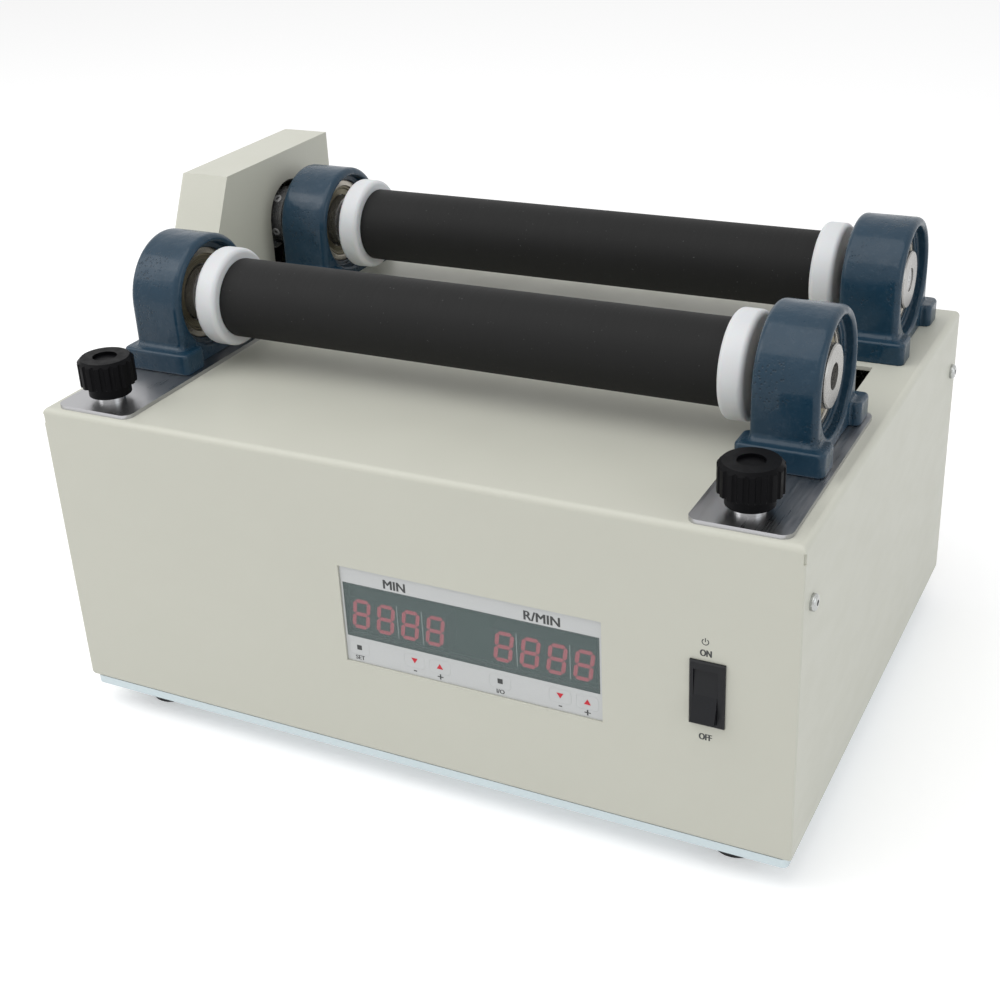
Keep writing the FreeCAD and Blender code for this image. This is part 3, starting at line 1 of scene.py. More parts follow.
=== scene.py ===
"""Looks of a two-roller jar mill: painted case, cast bearing housings, rubber rollers, display and switch."""
import math

import bmesh
import bpy
from mathutils import Matrix, Vector


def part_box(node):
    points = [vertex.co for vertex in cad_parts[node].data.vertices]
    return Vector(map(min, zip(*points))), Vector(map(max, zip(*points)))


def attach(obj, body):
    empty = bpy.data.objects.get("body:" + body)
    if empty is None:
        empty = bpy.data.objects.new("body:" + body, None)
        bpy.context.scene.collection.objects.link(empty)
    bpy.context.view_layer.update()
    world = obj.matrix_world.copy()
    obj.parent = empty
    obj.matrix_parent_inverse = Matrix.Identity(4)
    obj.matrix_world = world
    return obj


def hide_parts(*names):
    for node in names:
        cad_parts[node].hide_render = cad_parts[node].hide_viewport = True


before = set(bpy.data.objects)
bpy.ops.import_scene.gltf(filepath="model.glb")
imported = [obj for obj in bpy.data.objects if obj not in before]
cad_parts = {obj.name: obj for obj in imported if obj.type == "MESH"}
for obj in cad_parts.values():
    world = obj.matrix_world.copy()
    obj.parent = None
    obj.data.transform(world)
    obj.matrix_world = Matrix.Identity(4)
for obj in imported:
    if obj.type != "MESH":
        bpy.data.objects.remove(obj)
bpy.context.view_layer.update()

bl_info = {
    "name": "Jar mill",
    "version": (1, 0, 0),
    "blender": (4, 2, 0),
    "location": "3D View > Sidebar > Jar mill",
    "description": "Finishes, detailed pieces and studio of a two-roller jar mill",
    "category": "Object",
}

MM = 0.001
case_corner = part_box("hood")[0]


def spot(x, y, z):
    """A place in millimetres from the hood's lower front left corner."""
    return case_corner + Vector((x, y, z)) * MM


# Sizes and colours a user would change

def length(name, text, millimetres):
    """A length property, its default given in millimetres."""
    return bpy.props.FloatProperty(name=name, description=text, default=millimetres * MM, min=0.0,
                                   subtype="DISTANCE", unit="LENGTH", precision=5)


def colour(name, text, red, green, blue):
    """A colour property from the numbers of a colour chip, 0 to 255."""
    shares = [chip / 255 for chip in (red, green, blue)]
    linear = [c / 12.92 if c < 0.0404 else ((c + 0.055) / 1.055) ** 2.4 for c in shares]
    return bpy.props.FloatVectorProperty(name=name, description=text, subtype="COLOR", size=3,
                                         min=0.0, max=1.0, default=linear)


class MillSizes(bpy.types.PropertyGroup):
    cast_grain: length("Cast grain", "Size of the steps that the castings are rounded with", 0.6)
    sleeve_edge: length("Sleeve edge", "Rounding at the ends of the rubber sleeves", 0.8)
    digit_height: length("Digit height", "Height of a display digit", 16.2)
    digit_width: length("Digit width", "Width of a display digit", 9.3)
    digit_stroke: length("Digit stroke", "Width of a display segment", 1.95)
    digit_pitch: length("Digit pitch", "Distance from one digit to the next", 13.15)
    digit_lean: bpy.props.FloatProperty(name="Digit lean", description="Slant of the display digits",
                                        default=0.13, subtype="ANGLE", unit="ROTATION")
    band_text: length("Band text", "Height of the words above the digits", 4.9)
    switch_text: length("Switch text", "Height of the words at the switch", 3.3)
    key_text: length("Key text", "Height of the marks below the keys", 2.3)
    text_weight: length("Text weight", "Widening of the bold words", 0.42)
    ink: length("Ink", "Thickness of printed marks", 0.04)


class MillColours(bpy.types.PropertyGroup):
    case: colour("Case", "Powder coat of the hood and the belt cover", 203, 203, 191)
    casting: colour("Castings", "Enamel of the bearing housings", 24, 52, 70)
    rubber: colour("Sleeve", "Rubber of the rollers", 28, 28, 28)
    collar: colour("Collar", "Plastic of the collars", 217, 219, 221)
    shield: colour("Shield", "Stamped shields of the bearings", 136, 129, 108)
    knob: colour("Knob", "Plastic of the clamp knobs", 11, 11, 13)
    switch: colour("Switch", "Plastic of the switch", 26, 27, 30)
    fascia: colour("Fascia", "Film of the display panel", 196, 198, 198)
    window: colour("Window", "Smoked window of the display", 98, 114, 113)
    segment: colour("Segment", "Lit display segments", 255, 88, 114)
    ink: colour("Ink", "Printed words", 58, 60, 60)
    arrow: colour("Arrow", "Arrows of the keys", 196, 26, 46)
    zinc: colour("Zinc", "Plating of the base plate", 194, 205, 209)
    steel: colour("Steel", "Stainless plates", 178, 178, 180)


def sizes():
    return bpy.context.scene.mill_sizes


def colours():
    return bpy.context.scene.mill_colours


# Shader nodes

class Wire:
    """The output of a shader node. Sums and products of wires add Math nodes."""

    def __init__(self, recipe, socket):
        self.recipe = recipe
        self.socket = socket

    def maths(self, operation, *values):
        return self.recipe.node("ShaderNodeMath", {"operation": operation}, dict(enumerate(values)))

    def __add__(self, other):
        return self.maths("ADD", self, other)

    def __sub__(self, other):
        return self.maths("SUBTRACT", self, other)

    def __rsub__(self, other):
        return self.maths("SUBTRACT", other, self)

    def __mul__(self, other):
        return self.maths("MULTIPLY", self, other)

    def __gt__(self, other):
        return self.maths("GREATER_THAN", self, other)

    __radd__ = __add__
    __rmul__ = __mul__

    def between(self, low, high, start=0.0, end=1.0):
        """Runs from start to end while this value goes from low to high, and is held outside."""
        return self.recipe.node("ShaderNodeMapRange", {"interpolation_type": "SMOOTHSTEP", "clamp": True},
                                {"Value": self, "From Min": low, "From Max": high,
                                 "To Min": start, "To Max": end})


class Nodes:
    """Adds shader nodes to a node tree that ends in one output."""

    def __init__(self, tree, output):
        self.tree = tree
        tree.nodes.clear()
        self.output = tree.nodes.new(output)

    def node(self, kind, settings, inputs, output=0):
        """A node of a kind, its settings set first, then the values or wires of its sockets."""
        made = self.tree.nodes.new(kind)
        for key, value in settings.items():
            setattr(made, key, value)
        for key, value in inputs.items():
            if isinstance(value, Wire):
                self.tree.links.new(value.socket, made.inputs[key])
            else:
                made.inputs[key].default_value = value
        return Wire(self, made.outputs[output])

    def end(self, shader):
        """Joins the last shader to the output."""
        self.tree.links.new(shader.socket, self.output.inputs["Surface"])


class Recipe(Nodes):
    """The nodes of one finish."""

    def __init__(self, name):
        self.material = bpy.data.materials.new(name)
        self.material.use_nodes = True
        super().__init__(self.material.node_tree, "ShaderNodeOutputMaterial")
        self.place = self.node("ShaderNodeTexCoord", {}, {}, "Object")

    def stretched(self, x, y, z):
        """Object coordinates with each axis scaled."""
        return self.node("ShaderNodeMapping", {}, {"Vector": self.place, "Scale": (x, y, z)})

    def noise(self, scale, detail, rough=0.5, at=None):
        """Soft noise on Object coordinates, or at a place worked out from them."""
        return self.node("ShaderNodeTexNoise", {},
                         {"Vector": at or self.place, "Scale": scale, "Detail": detail, "Roughness": rough})

    def cells(self, scale):
        """Distance to the nearest of scattered points."""
        return self.node("ShaderNodeTexVoronoi", {}, {"Vector": self.place, "Scale": scale})

    def blend(self, first, second, share):
        """A colour between two others."""
        return self.node("ShaderNodeMix", {"data_type": "RGBA"},
                         {0: share, 6: tone(first), 7: tone(second)}, 2)

    def bump(self, height, depth, strength):
        """A normal from a height, depth in metres."""
        return self.node("ShaderNodeBump", {}, {"Height": height, "Distance": depth, "Strength": strength})

    def surface(self, **inputs):
        """Ends the recipe with a Principled shader."""
        named = {key.replace("_", " "): value for key, value in inputs.items()}
        self.end(self.node("ShaderNodeBsdfPrincipled", {}, named))
        return self.material


def tone(value):
    """A colour with its alpha, or the wire that carries one."""
    return value if isinstance(value, Wire) else (*tuple(value)[:3], 1.0)


def scaled(shade, factor):
    """A colour made lighter or darker."""
    return tuple(min(1.0, c * factor) for c in tuple(shade)[:3])


# Finishes, one for each material slot

def case_paint(name):
    """Fine powder coat, a little uneven in tone and gloss."""
    mix = Recipe(name)
    paint = colours().case
    cloud = mix.noise(9, 3)
    peel = mix.noise(900, 2, 0.4)
    wipe = mix.noise(34, 4, 0.6, mix.stretched(1, 1, 2.4))
    return mix.surface(
        Base_Color=mix.blend(scaled(paint, 0.975), scaled(paint, 1.02), cloud),
        Roughness=wipe.between(0.3, 0.75, 0.40, 0.50),
        Normal=mix.bump(peel, 0.00006, 0.55),
        Specular_IOR_Level=0.42)


def housing_paint(name):
    """Enamel over a sand-cast skin: soft lumps, patches of pits with painted shade in them, a glossy coat."""
    mix = Recipe(name)
    paint = colours().casting
    lumps = mix.noise(110, 3, 0.5)
    patch = mix.noise(46, 2).between(0.52, 0.66)
    pits = mix.cells(620).between(0.05, 0.42)
    grain = mix.noise(1500, 2)
    height = lumps * 2.0 + grain * 0.08 + (1 - pits) * patch * -0.9
    dust = mix.noise(300, 5, 0.7).between(0.5, 0.8)
    shade = mix.blend(scaled(paint, 0.86), scaled(paint, 1.25), mix.noise(30, 4, 0.6))
    # Painted shade: the pits in the patches are darkened, as shade would fall in them.
    shade = mix.blend(shade, scaled(paint, 0.55), (1 - pits) * patch * 0.6)
    shade = mix.blend(shade, (0.30, 0.36, 0.42), dust * 0.06)
    return mix.surface(
        Base_Color=shade,
        Roughness=mix.noise(140, 3).between(0.3, 0.7, 0.26, 0.40),
        Specular_IOR_Level=0.22, Coat_Weight=0.24, Coat_Roughness=0.08,
        Normal=mix.bump(height, 0.0004, 0.85))


def roller_rubber(name):
    """Ground rubber: fine rings round the roller, faint pale specks."""
    mix = Recipe(name)
    paint = colours().rubber
    rings = mix.noise(1.0, 3, 0.6, mix.stretched(2600, 60, 60))
    bands = mix.noise(1.0, 2, 0.5, mix.stretched(70, 3, 3))
    speck = mix.noise(900, 1).between(0.74, 0.82)
    shade = mix.blend(scaled(paint, 0.86), scaled(paint, 1.16), bands)
    shade = mix.blend(shade, (0.11, 0.11, 0.11), speck * 0.5)
    return mix.surface(
        Base_Color=shade,
        Roughness=(rings * 0.16 + bands * 0.1).between(0.0, 0.26, 0.56, 0.74),
        Normal=mix.bump(rings, 0.00003, 0.5),
        Specular_IOR_Level=0.2)


def plastic(name, shade, grain=1400, depth=0.00003, gloss=(0.38, 0.5), vary=0.06, shine=0.5):
    """Moulded plastic with a fine spark-eroded grain."""
    mix = Recipe(name)
    return mix.surface(
        Base_Color=mix.blend(scaled(shade, 1 - vary), scaled(shade, 1 + vary), mix.noise(60, 3)),
        Roughness=mix.noise(240, 3).between(0.3, 0.7, *gloss),
        Normal=mix.bump(mix.noise(grain, 2), depth, 0.5),
        Specular_IOR_Level=shine)


def metal(name, shade, gloss, along=(1, 1, 1), scale=900, depth=0.00001, vary=0.08, bare=1.0):
    """Metal whose grain is drawn out as along says. Under oil or oxide, bare is less than 1."""
    mix = Recipe(name)
    grain = mix.noise(scale, 3, 0.6, mix.stretched(*along))
    cloud = mix.noise(38, 3)
    return mix.surface(
        Base_Color=mix.blend(scaled(shade, 1 - vary), scaled(shade, 1 + vary),
                             grain * 0.5 + cloud * 0.5),
        Metallic=bare,
        Roughness=(grain * 0.6 + cloud * 0.4).between(0.3, 0.7, *gloss),
        Normal=mix.bump(grain, depth, 0.4))


def collar_white(name):
    """Turned white plastic."""
    mix = Recipe(name)
    paint = colours().collar
    rings = mix.noise(1.0, 2, 0.5, mix.stretched(1700, 45, 45))
    return mix.surface(
        Base_Color=mix.blend(scaled(paint, 0.97), scaled(paint, 1.02), mix.noise(40, 2)),
        Roughness=rings.between(0.3, 0.7, 0.38, 0.5),
        Subsurface_Weight=0.12, Subsurface_Scale=0.002,
        Normal=mix.bump(rings, 0.00002, 0.4))


def shield_steel(name):
    """Stamped shields with a warm tint, and rings that follow the mesh's distance from its axis."""
    mix = Recipe(name)
    paint = colours().shield
    reach = mix.node("ShaderNodeAttribute", {"attribute_name": "reach"}, {}, "Fac")
    rings = mix.node("ShaderNodeTexNoise", {"noise_dimensions": "1D"},
                     {"W": reach * 2600, "Scale": 1.0, "Detail": 2.0})
    return mix.surface(
        Base_Color=mix.blend(scaled(paint, 0.7), scaled(paint, 1.15),
                             rings * 0.6 + mix.noise(150, 3) * 0.4),
        Metallic=0.6,
        Roughness=rings.between(0.3, 0.7, 0.26, 0.38),
        Normal=mix.bump(rings, 0.00003, 0.6))


def smoked_window(name):
    """Smoked clear sheet over the display."""
    mix = Recipe(name)
    return mix.surface(
        Base_Color=tone(colours().window),
        Alpha=0.62,
        Roughness=mix.noise(60, 3).between(0.3, 0.7, 0.04, 0.08))


def fascia_film(name):
    """Silver film with a very fine sparkle."""
    mix = Recipe(name)
    paint = colours().fascia
    spark = mix.noise(3200, 1)
    return mix.surface(
        Base_Color=mix.blend(scaled(paint, 0.95), scaled(paint, 1.04), spark),
        Metallic=0.15,
        Roughness=mix.noise(60, 3).between(0.3, 0.7, 0.36, 0.46),
        Normal=mix.bump(spark, 0.00001, 0.3))


def lit(name, shade, strength, base=0.6):
    """Lit marks, base being the share of their colour that they keep in daylight."""
    mix = Recipe(name)
    glow = mix.blend(scaled(shade, 0.92), scaled(shade, 1.05), mix.noise(700, 2))
    return mix.surface(
        Base_Color=mix.blend(scaled(shade, base), scaled(shade, base * 1.1), mix.noise(500, 1)),
        Roughness=mix.noise(300, 1).between(0.3, 0.7, 0.42, 0.52),
        Emission_Color=glow, Emission_Strength=strength)


def ink_finish(name, shade):
    """Screen-printed ink."""
    mix = Recipe(name)
    return mix.surface(
        Base_Color=mix.blend(scaled(shade, 0.9), scaled(shade, 1.15), mix.noise(1500, 2)),
        Roughness=mix.noise(700, 2).between(0.3, 0.7, 0.45, 0.6))


def rubber(name, shade):
    """Moulded black rubber of the belt and the feet."""
    return plastic(name, shade, 800, 0.00005, (0.6, 0.78), 0.12)


FINISHES = {
    "case_paint": case_paint,
    "housing_paint": housing_paint,
    "roller_rubber": roller_rubber,
    "collar_white": collar_white,
    "race_steel": lambda n: metal(n, (0.46, 0.43, 0.38), (0.24, 0.36), (1, 1, 1), 1300),
    "shield_steel": shield_steel,
    "ring_steel": lambda n: metal(n, (0.36, 0.35, 0.335), (0.24, 0.34), (3, 0.4, 0.4), 900, bare=0.75),
    "shaft_steel": lambda n: metal(n, (0.42, 0.42, 0.42), (0.24, 0.34), (3, 0.3, 0.3), 900),
    "grub_steel": lambda n: metal(n, (0.80, 0.80, 0.80), (0.18, 0.26), bare=0.35),
    "bush_steel": lambda n: metal(n, (0.56, 0.56, 0.56), (0.24, 0.34)),
    "nut_steel": lambda n: metal(n, (0.58, 0.6, 0.61), (0.26, 0.38)),
    "plated_screw": lambda n: metal(n, (0.46, 0.47, 0.46), (0.2, 0.32), (1, 1, 1), 1500),
    "stainless": lambda n: metal(n, colours().steel, (0.26, 0.40), (2.2, 0.05, 2.2), 900, 0.000006, 0.10),
    "zinc_plate": lambda n: metal(n, colours().zinc, (0.30, 0.44), (1, 1, 1), 260, 0.00001, 0.06),
    "pulley_alloy": lambda n: metal(n, (0.55, 0.56, 0.57), (0.26, 0.38), (3, 0.4, 0.4), 900),
    "gearhead_alloy": lambda n: metal(n, (0.5, 0.5, 0.5), (0.34, 0.46)),
    "motor_black": lambda n: plastic(n, (0.02, 0.02, 0.022), 900, 0.00005, (0.4, 0.55)),
    "hub_black": lambda n: metal(n, (0.34, 0.34, 0.345), (0.22, 0.32), (3, 0.4, 0.4), 900, bare=0.7),
    "belt_rubber": lambda n: rubber(n, (0.018, 0.018, 0.018)),
    "foot_rubber": lambda n: rubber(n, (0.02, 0.02, 0.021)),
    "fascia_silver": fascia_film,
    "smoked_window": smoked_window,
    "module_black": lambda n: plastic(n, (0.06, 0.07, 0.07), 1800, 0.000001, (0.5, 0.6), 0.04, 0.1),
    "board_green": lambda n: plastic(n, (0.02, 0.13, 0.05), 500, 0.00003, (0.3, 0.42), 0.2),
    "spacer_brass": lambda n: metal(n, (0.60, 0.45, 0.2), (0.24, 0.36)),
    "switch_black": lambda n: plastic(n, colours().switch, 2000, 0.00001, (0.3, 0.38), 0.06, 0.22),
    "inlet_black": lambda n: plastic(n, (0.018, 0.018, 0.02), 1500, 0.00003, (0.34, 0.46)),
    "pin_nickel": lambda n: metal(n, (0.66, 0.62, 0.55), (0.16, 0.28)),
    "supply_case": lambda n: metal(n, (0.62, 0.64, 0.65), (0.34, 0.48), (0.3, 2, 2)),
    "knob_black": lambda n: plastic(n, colours().knob, 1500, 0.00004, (0.36, 0.48), 0.1, 0.06),
    "stud_chrome": lambda n: metal(n, (0.60, 0.60, 0.60), (0.10, 0.18)),
    "segment_lit": lambda n: lit(n, colours().segment, 1.6, 0.3),
    # Painted glow: the white lines between the digits give off light, though they are no lamps.
    "painted_glow_separator": lambda n: lit(n, (0.86, 0.92, 0.90), 0.9),
    "ink": lambda n: ink_finish(n, colours().ink),
    "arrow": lambda n: ink_finish(n, colours().arrow),
}
NODE_SLOTS = {name: shown.data.materials[0].name.split(".")[0] for name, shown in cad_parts.items()}
made_finishes = {}


def finish(slot):
    """The material of a slot, made once."""
    if slot not in made_finishes:
        made_finishes[slot] = FINISHES[slot]("mill_" + slot)
    return made_finishes[slot]


def dress(*nodes):
    """CAD nodes get the finish of their slot."""
    for node in nodes:
        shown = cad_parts[node]
        shown.data.materials.clear()
        shown.data.materials.append(finish(NODE_SLOTS[node]))


# Mesh helpers

def piece(name, bm, slot, body, replaced=(), corner=32.0):
    """A finished piece from a bmesh. Edges stay sharp past a corner of that many degrees."""
    for face in bm.faces:
        face.smooth = True
    limit = math.radians(corner)
    for edge in bm.edges:
        edge.smooth = len(edge.link_faces) == 2 and edge.calc_face_angle(0.0) < limit
    mesh = bpy.data.meshes.new(name)
    bm.to_mesh(mesh)
    bm.free()
    mesh.materials.append(finish(slot))
    made = bpy.data.objects.new(name, mesh)
    bpy.context.scene.collection.objects.link(made)
    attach(made, body)
    if replaced:
        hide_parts(*replaced)
    return made


def spin_profile(bm, corners, centre, steps=128):
    """Adds a ring: a closed profile turned about the line along X through centre.

    Each corner of the profile is its place along X, its radius and its rounding, in metres."""
    profile = bmesh.new()
    verts = [profile.verts.new((along, 0, reach)) for along, reach, _ in corners]
    profile.faces.new(verts)
    for v, (_, _, rounding) in zip(verts, corners):
        if rounding:
            bmesh.ops.bevel(profile, geom=[v], offset=rounding, offset_type="OFFSET", segments=5, profile=0.5,
                            affect="VERTICES", material=-1)
    bmesh.ops.delete(profile, geom=profile.faces[:], context="FACES_ONLY")
    axis = [e for e in profile.edges if all(abs(v.co.z) < 1e-9 for v in e.verts)]
    bmesh.ops.delete(profile, geom=axis, context="EDGES")
    bmesh.ops.spin(profile, geom=profile.verts[:] + profile.edges[:], cent=(0, 0, 0), axis=(1, 0, 0),
                   angle=2 * math.pi, steps=steps, use_merge=True, use_duplicate=False)
    bmesh.ops.remove_doubles(profile, verts=profile.verts[:], dist=1e-7)
    bmesh.ops.recalc_face_normals(profile, faces=profile.faces[:])
    bmesh.ops.translate(profile, verts=profile.verts[:], vec=centre)
    return join(bm, profile)


def join(bm, other):
    """Adds another bmesh to bm and frees it."""
    mesh = bpy.data.meshes.new("part")
    other.to_mesh(mesh)
    other.free()
    bm.from_mesh(mesh)
    bpy.data.meshes.remove(mesh)
    return bm


def block(low, high):
    """A box between two corners."""
    bm = bmesh.new()
    placed = Matrix.Translation((low + high) / 2) @ Matrix.Diagonal((*(high - low), 1))
    bmesh.ops.create_cube(bm, size=1.0, matrix=placed)
    return bm


def thin_plate(outline, thickness):
    """An upright face from outline points, pushed out to the front by its thickness."""
    bm = bmesh.new()
    face = bm.faces.new([bm.verts.new(p) for p in outline])
    pushed = bmesh.ops.extrude_face_region(bm, geom=[face], use_keep_orig=True)
    moved = [v for v in pushed["geom"] if isinstance(v, bmesh.types.BMVert)]
    bmesh.ops.translate(bm, verts=moved, vec=(0, -thickness, 0))
    bmesh.ops.recalc_face_normals(bm, faces=bm.faces[:])
    return bm


LETTER_RISE = 0.72      # height of a capital as a share of the font's size
BOLD_STEP = 0.004 * MM  # keeps the faces of bold copies apart


def words(text, height, middle, squeeze, heavy):
    """Upright lettering on a face turned to the front, middle being its centre.

    Bold lettering is three copies side by side over a width of heavy, at slightly different depths."""
    curve = bpy.data.curves.new("words", "FONT")
    curve.body = text
    curve.size = height / LETTER_RISE
    curve.align_x = "CENTER"
    curve.align_y = "CENTER"
    curve.extrude = sizes().ink / 2
    curve.resolution_u = 4
    holder = bpy.data.objects.new("words", curve)
    bpy.context.scene.collection.objects.link(holder)
    bpy.context.view_layer.update()
    mesh = bpy.data.meshes.new_from_object(holder.evaluated_get(bpy.context.evaluated_depsgraph_get()))
    bpy.data.objects.remove(holder)
    bpy.data.curves.remove(curve)
    bm = bmesh.new()
    bm.from_mesh(mesh)
    bpy.data.meshes.remove(mesh)
    turn = Matrix(((squeeze, 0, 0, 0), (0, 0, -1, 0), (0, 1, 0, 0), (0, 0, 0, 1)))
    bmesh.ops.transform(bm, matrix=turn, verts=bm.verts[:])
    low = Vector((min(v.co.x for v in bm.verts), 0, min(v.co.z for v in bm.verts)))
    high = Vector((max(v.co.x for v in bm.verts), 0, max(v.co.z for v in bm.verts)))
    bmesh.ops.translate(bm, verts=bm.verts[:], vec=middle - (low + high) / 2)
    if heavy:
        copies = [bm.copy() for _ in range(2)]
        for copy, side in zip(copies, (-1, 1)):
            bmesh.ops.translate(copy, verts=copy.verts[:], vec=(side * heavy / 2, side * BOLD_STEP, 0))
            join(bm, copy)
    return bm


# Case

class CaseOperator(bpy.types.Operator):
    """Hood, base plate, belt cover, feet and their screws"""
    bl_idname = "mill.case"
    bl_label = "Case"

    def execute(self, context):
        dress("hood", "belt_cover", "base_plate", "feet", "foot_screws", "case_screws")
        return {"FINISHED"}


# Bearing housings

def cast_copy(node, name, body):
    """A copy of a CAD casting with its edges and inner corners run together as in a sand casting."""
    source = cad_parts[node]
    bm = bmesh.new()
    bm.from_mesh(source.data)
    bmesh.ops.remove_doubles(bm, verts=bm.verts[:], dist=2e-6)
    mesh = bpy.data.meshes.new(name)
    bm.to_mesh(mesh)
    bm.free()
    holder = bpy.data.objects.new(name + "_rough", mesh)
    bpy.context.scene.collection.objects.link(holder)
    remesh = holder.modifiers.new("Skin", "REMESH")
    remesh.mode = "VOXEL"
    remesh.voxel_size = sizes().cast_grain * 1.0
    remesh.use_smooth_shade = True
    smooth = holder.modifiers.new("Rounding", "SMOOTH")
    smooth.factor = 0.5
    smooth.iterations = 3
    bpy.context.view_layer.update()
    skin = bpy.data.meshes.new_from_object(holder.evaluated_get(bpy.context.evaluated_depsgraph_get()))
    bpy.data.objects.remove(holder)
    bm = bmesh.new()
    bm.from_mesh(skin)
    bpy.data.meshes.remove(skin)
    return piece(name, bm, "housing_paint", body, (node,), corner=80)


class HousingsOperator(bpy.types.Operator):
    """Four cast bearing housings with softened edges"""
    bl_idname = "mill.housings"
    bl_label = "Bearing housings"

    def execute(self, context):
        for side in ("left", "right"):
            cast_copy("front_housing_" + side, "front_casting_" + side, "carriage")
            cast_copy("rear_housing_" + side, "rear_casting_" + side, "base")
        dress("rear_bolts", "front_bolts", "guide_bushes")
        return {"FINISHED"}


# Bearings

RACE_HALF_WIDTH = 8.5 * MM
RACE_RADIUS = 23.5 * MM
RACE_LIP_RADIUS = 20.3 * MM
RACE_GROOVE_RADIUS = 19.6 * MM
RACE_GROOVE_INSET = 1.8 * MM


def race_profile(middle):
    """Outer race: ground faces with rounded corners, about middle on X."""
    left, right = middle - RACE_HALF_WIDTH, middle + RACE_HALF_WIDTH
    return [(left, RACE_LIP_RADIUS, 0.3 * MM), (left, RACE_RADIUS, 0.7 * MM),
            (right, RACE_RADIUS, 0.7 * MM), (right, RACE_LIP_RADIUS, 0.3 * MM),
            (right - RACE_GROOVE_INSET, RACE_GROOVE_RADIUS, 0),
            (left + RACE_GROOVE_INSET, RACE_GROOVE_RADIUS, 0)]


# Rim, step and flat of a shield: depth below its face, radius and rounding, in millimetres
SHIELD_FACE = 7.4
SHIELD_CORNERS = ((0.5, 20.2, 0.2), (-0.1, 19.6, 0.3), (0, 18.9, 0.2), (0.7, 18.2, 0.2), (0.45, 16.6, 0.2),
                  (0.2, 15.0, 0.2), (1.1, 14.9, 0), (1.5, 20.0, 0))


def shield_profile(middle, side):
    """One stamped shield: crimped rim, step and flat, on one side of the bearing."""
    return [(middle + side * (SHIELD_FACE - depth) * MM, radius * MM, rounding * MM)
            for depth, radius, rounding in SHIELD_CORNERS]


def stamp_reach(made, centre):
    """Stores each vertex's distance from the roller's axis on the mesh."""
    reach = made.data.attributes.new("reach", "FLOAT", "POINT")
    away = [math.hypot(v.co.y - centre.y, v.co.z - centre.z) for v in made.data.vertices]
    reach.data.foreach_set("value", away)


class BearingsOperator(bpy.types.Operator):
    """Outer races, shields, inner rings and their grub screws"""
    bl_idname = "mill.bearings"
    bl_label = "Bearings"

    def execute(self, context):
        for place, body in (("front", "carriage"), ("rear", "base")):
            node = place + "_bearing_races"
            low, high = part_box(node)
            axis = (low + high) / 2
            races, shields = bmesh.new(), bmesh.new()
            at = Vector((0, axis.y, axis.z))
            for middle in (low.x + RACE_HALF_WIDTH, high.x - RACE_HALF_WIDTH):
                spin_profile(races, race_profile(middle), at)
                for side in (-1, 1):
                    spin_profile(shields, shield_profile(middle, side), at)
            piece(place + "_outer_races", races, "race_steel", body, (node,))
            made = piece(place + "_shields", shields, "shield_steel", body, (node,))
            stamp_reach(made, axis)
            dress(place + "_inner_rings", place + "_grub_screws")
        return {"FINISHED"}


# Rollers

SLEEVE_BORE_RADIUS = 17.1 * MM


class RollersOperator(bpy.types.Operator):
    """Rubber sleeves, collars and shafts"""
    bl_idname = "mill.rollers"
    bl_label = "Rollers"

    def execute(self, context):
        for place in ("front", "rear"):
            node = place + "_sleeve"
            low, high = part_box(node)
            outer = (high.z - low.z) / 2
            edge = sizes().sleeve_edge
            corners = [(low.x, SLEEVE_BORE_RADIUS, 0), (low.x, outer, edge),
                       (high.x, outer, edge), (high.x, SLEEVE_BORE_RADIUS, 0)]
            bm = bmesh.new()
            spin_profile(bm, corners, Vector((0, (low.y + high.y) / 2, (low.z + high.z) / 2)), 160)
            piece(place + "_rubber", bm, "roller_rubber", place + "_roller", (node,))
            dress(place + "_collars", place + "_shaft")
        return {"FINISHED"}


# Slides

class SlidesOperator(bpy.types.Operator):
    """Slide plates and clamp nuts"""
    bl_idname = "mill.slides"
    bl_label = "Slides"

    def execute(self, context):
        dress("slide_plate_left", "slide_plate_right", "clamp_nut_left", "clamp_nut_right")
        return {"FINISHED"}


# Knobs

class KnobsOperator(bpy.types.Operator):
    """Fluted clamp knobs with chrome bosses"""
    bl_idname = "mill.knobs"
    bl_label = "Clamp knobs"

    def execute(self, context):
        dress("knob_left", "knob_right", "knob_stud_left", "knob_stud_right")
        return {"FINISHED"}


# Display, its places in millimetres from the hood's lower front left corner

SEGMENTS = ((0, 1, "level"), (0, 0, "level"), (0, -1, "level"),
            (-1, 0.5, "upright"), (1, 0.5, "upright"), (-1, -0.5, "upright"), (1, -0.5, "upright"))
SEGMENT_GAP = 0.22 * MM
SEGMENT_THICKNESS = 0.1 * MM
FIRST_DIGITS = (174.8, 249.4)
DIGIT_MIDDLE = 76.35
SEPARATORS = (194.4, 207.6, 255.9, 282.1)
SEPARATOR_HALF_WIDTH = 0.22
SEPARATOR_LOW, SEPARATOR_HIGH = 67.5, 85.4
PANEL_WORDS = (("MIN", 195.2), ("R/MIN", 269.8))
PANEL_WORDS_LEVEL = 97.0
KEY_WORDS = (("SET", 173.0), ("-", 203.0), ("+", 216.4), ("I/O", 247.6), ("-", 277.5), ("+", 290.8))
KEY_WORDS_LEVEL = 53.0
SIGN_HEIGHT = 1.9       # height of plus and minus as a share of that of the key words
PRINT_GAP = 0.02        # between a face and the marks on it


def digit(bm, middle):
    """Seven slanted segments about middle, facing the front."""
    s = sizes()
    half_w = (s.digit_width - s.digit_stroke) / 2
    half_h = (s.digit_height - s.digit_stroke) / 2
    half = s.digit_stroke / 2
    for across, up, way in SEGMENTS:
        reach = (half_w if way == "level" else half_h / 2) - SEGMENT_GAP
        tips = [(-reach, 0), (-reach + half, half), (reach - half, half), (reach, 0), (reach - half, -half),
                (-reach + half, -half)]
        outline = []
        for a, b in tips:
            x, z = (a, b) if way == "level" else (b, a)
            x, z = x + across * half_w, z + up * half_h
            outline.append(middle + Vector((x + z * math.tan(s.digit_lean), 0, z)))
        join(bm, thin_plate(outline, SEGMENT_THICKNESS))


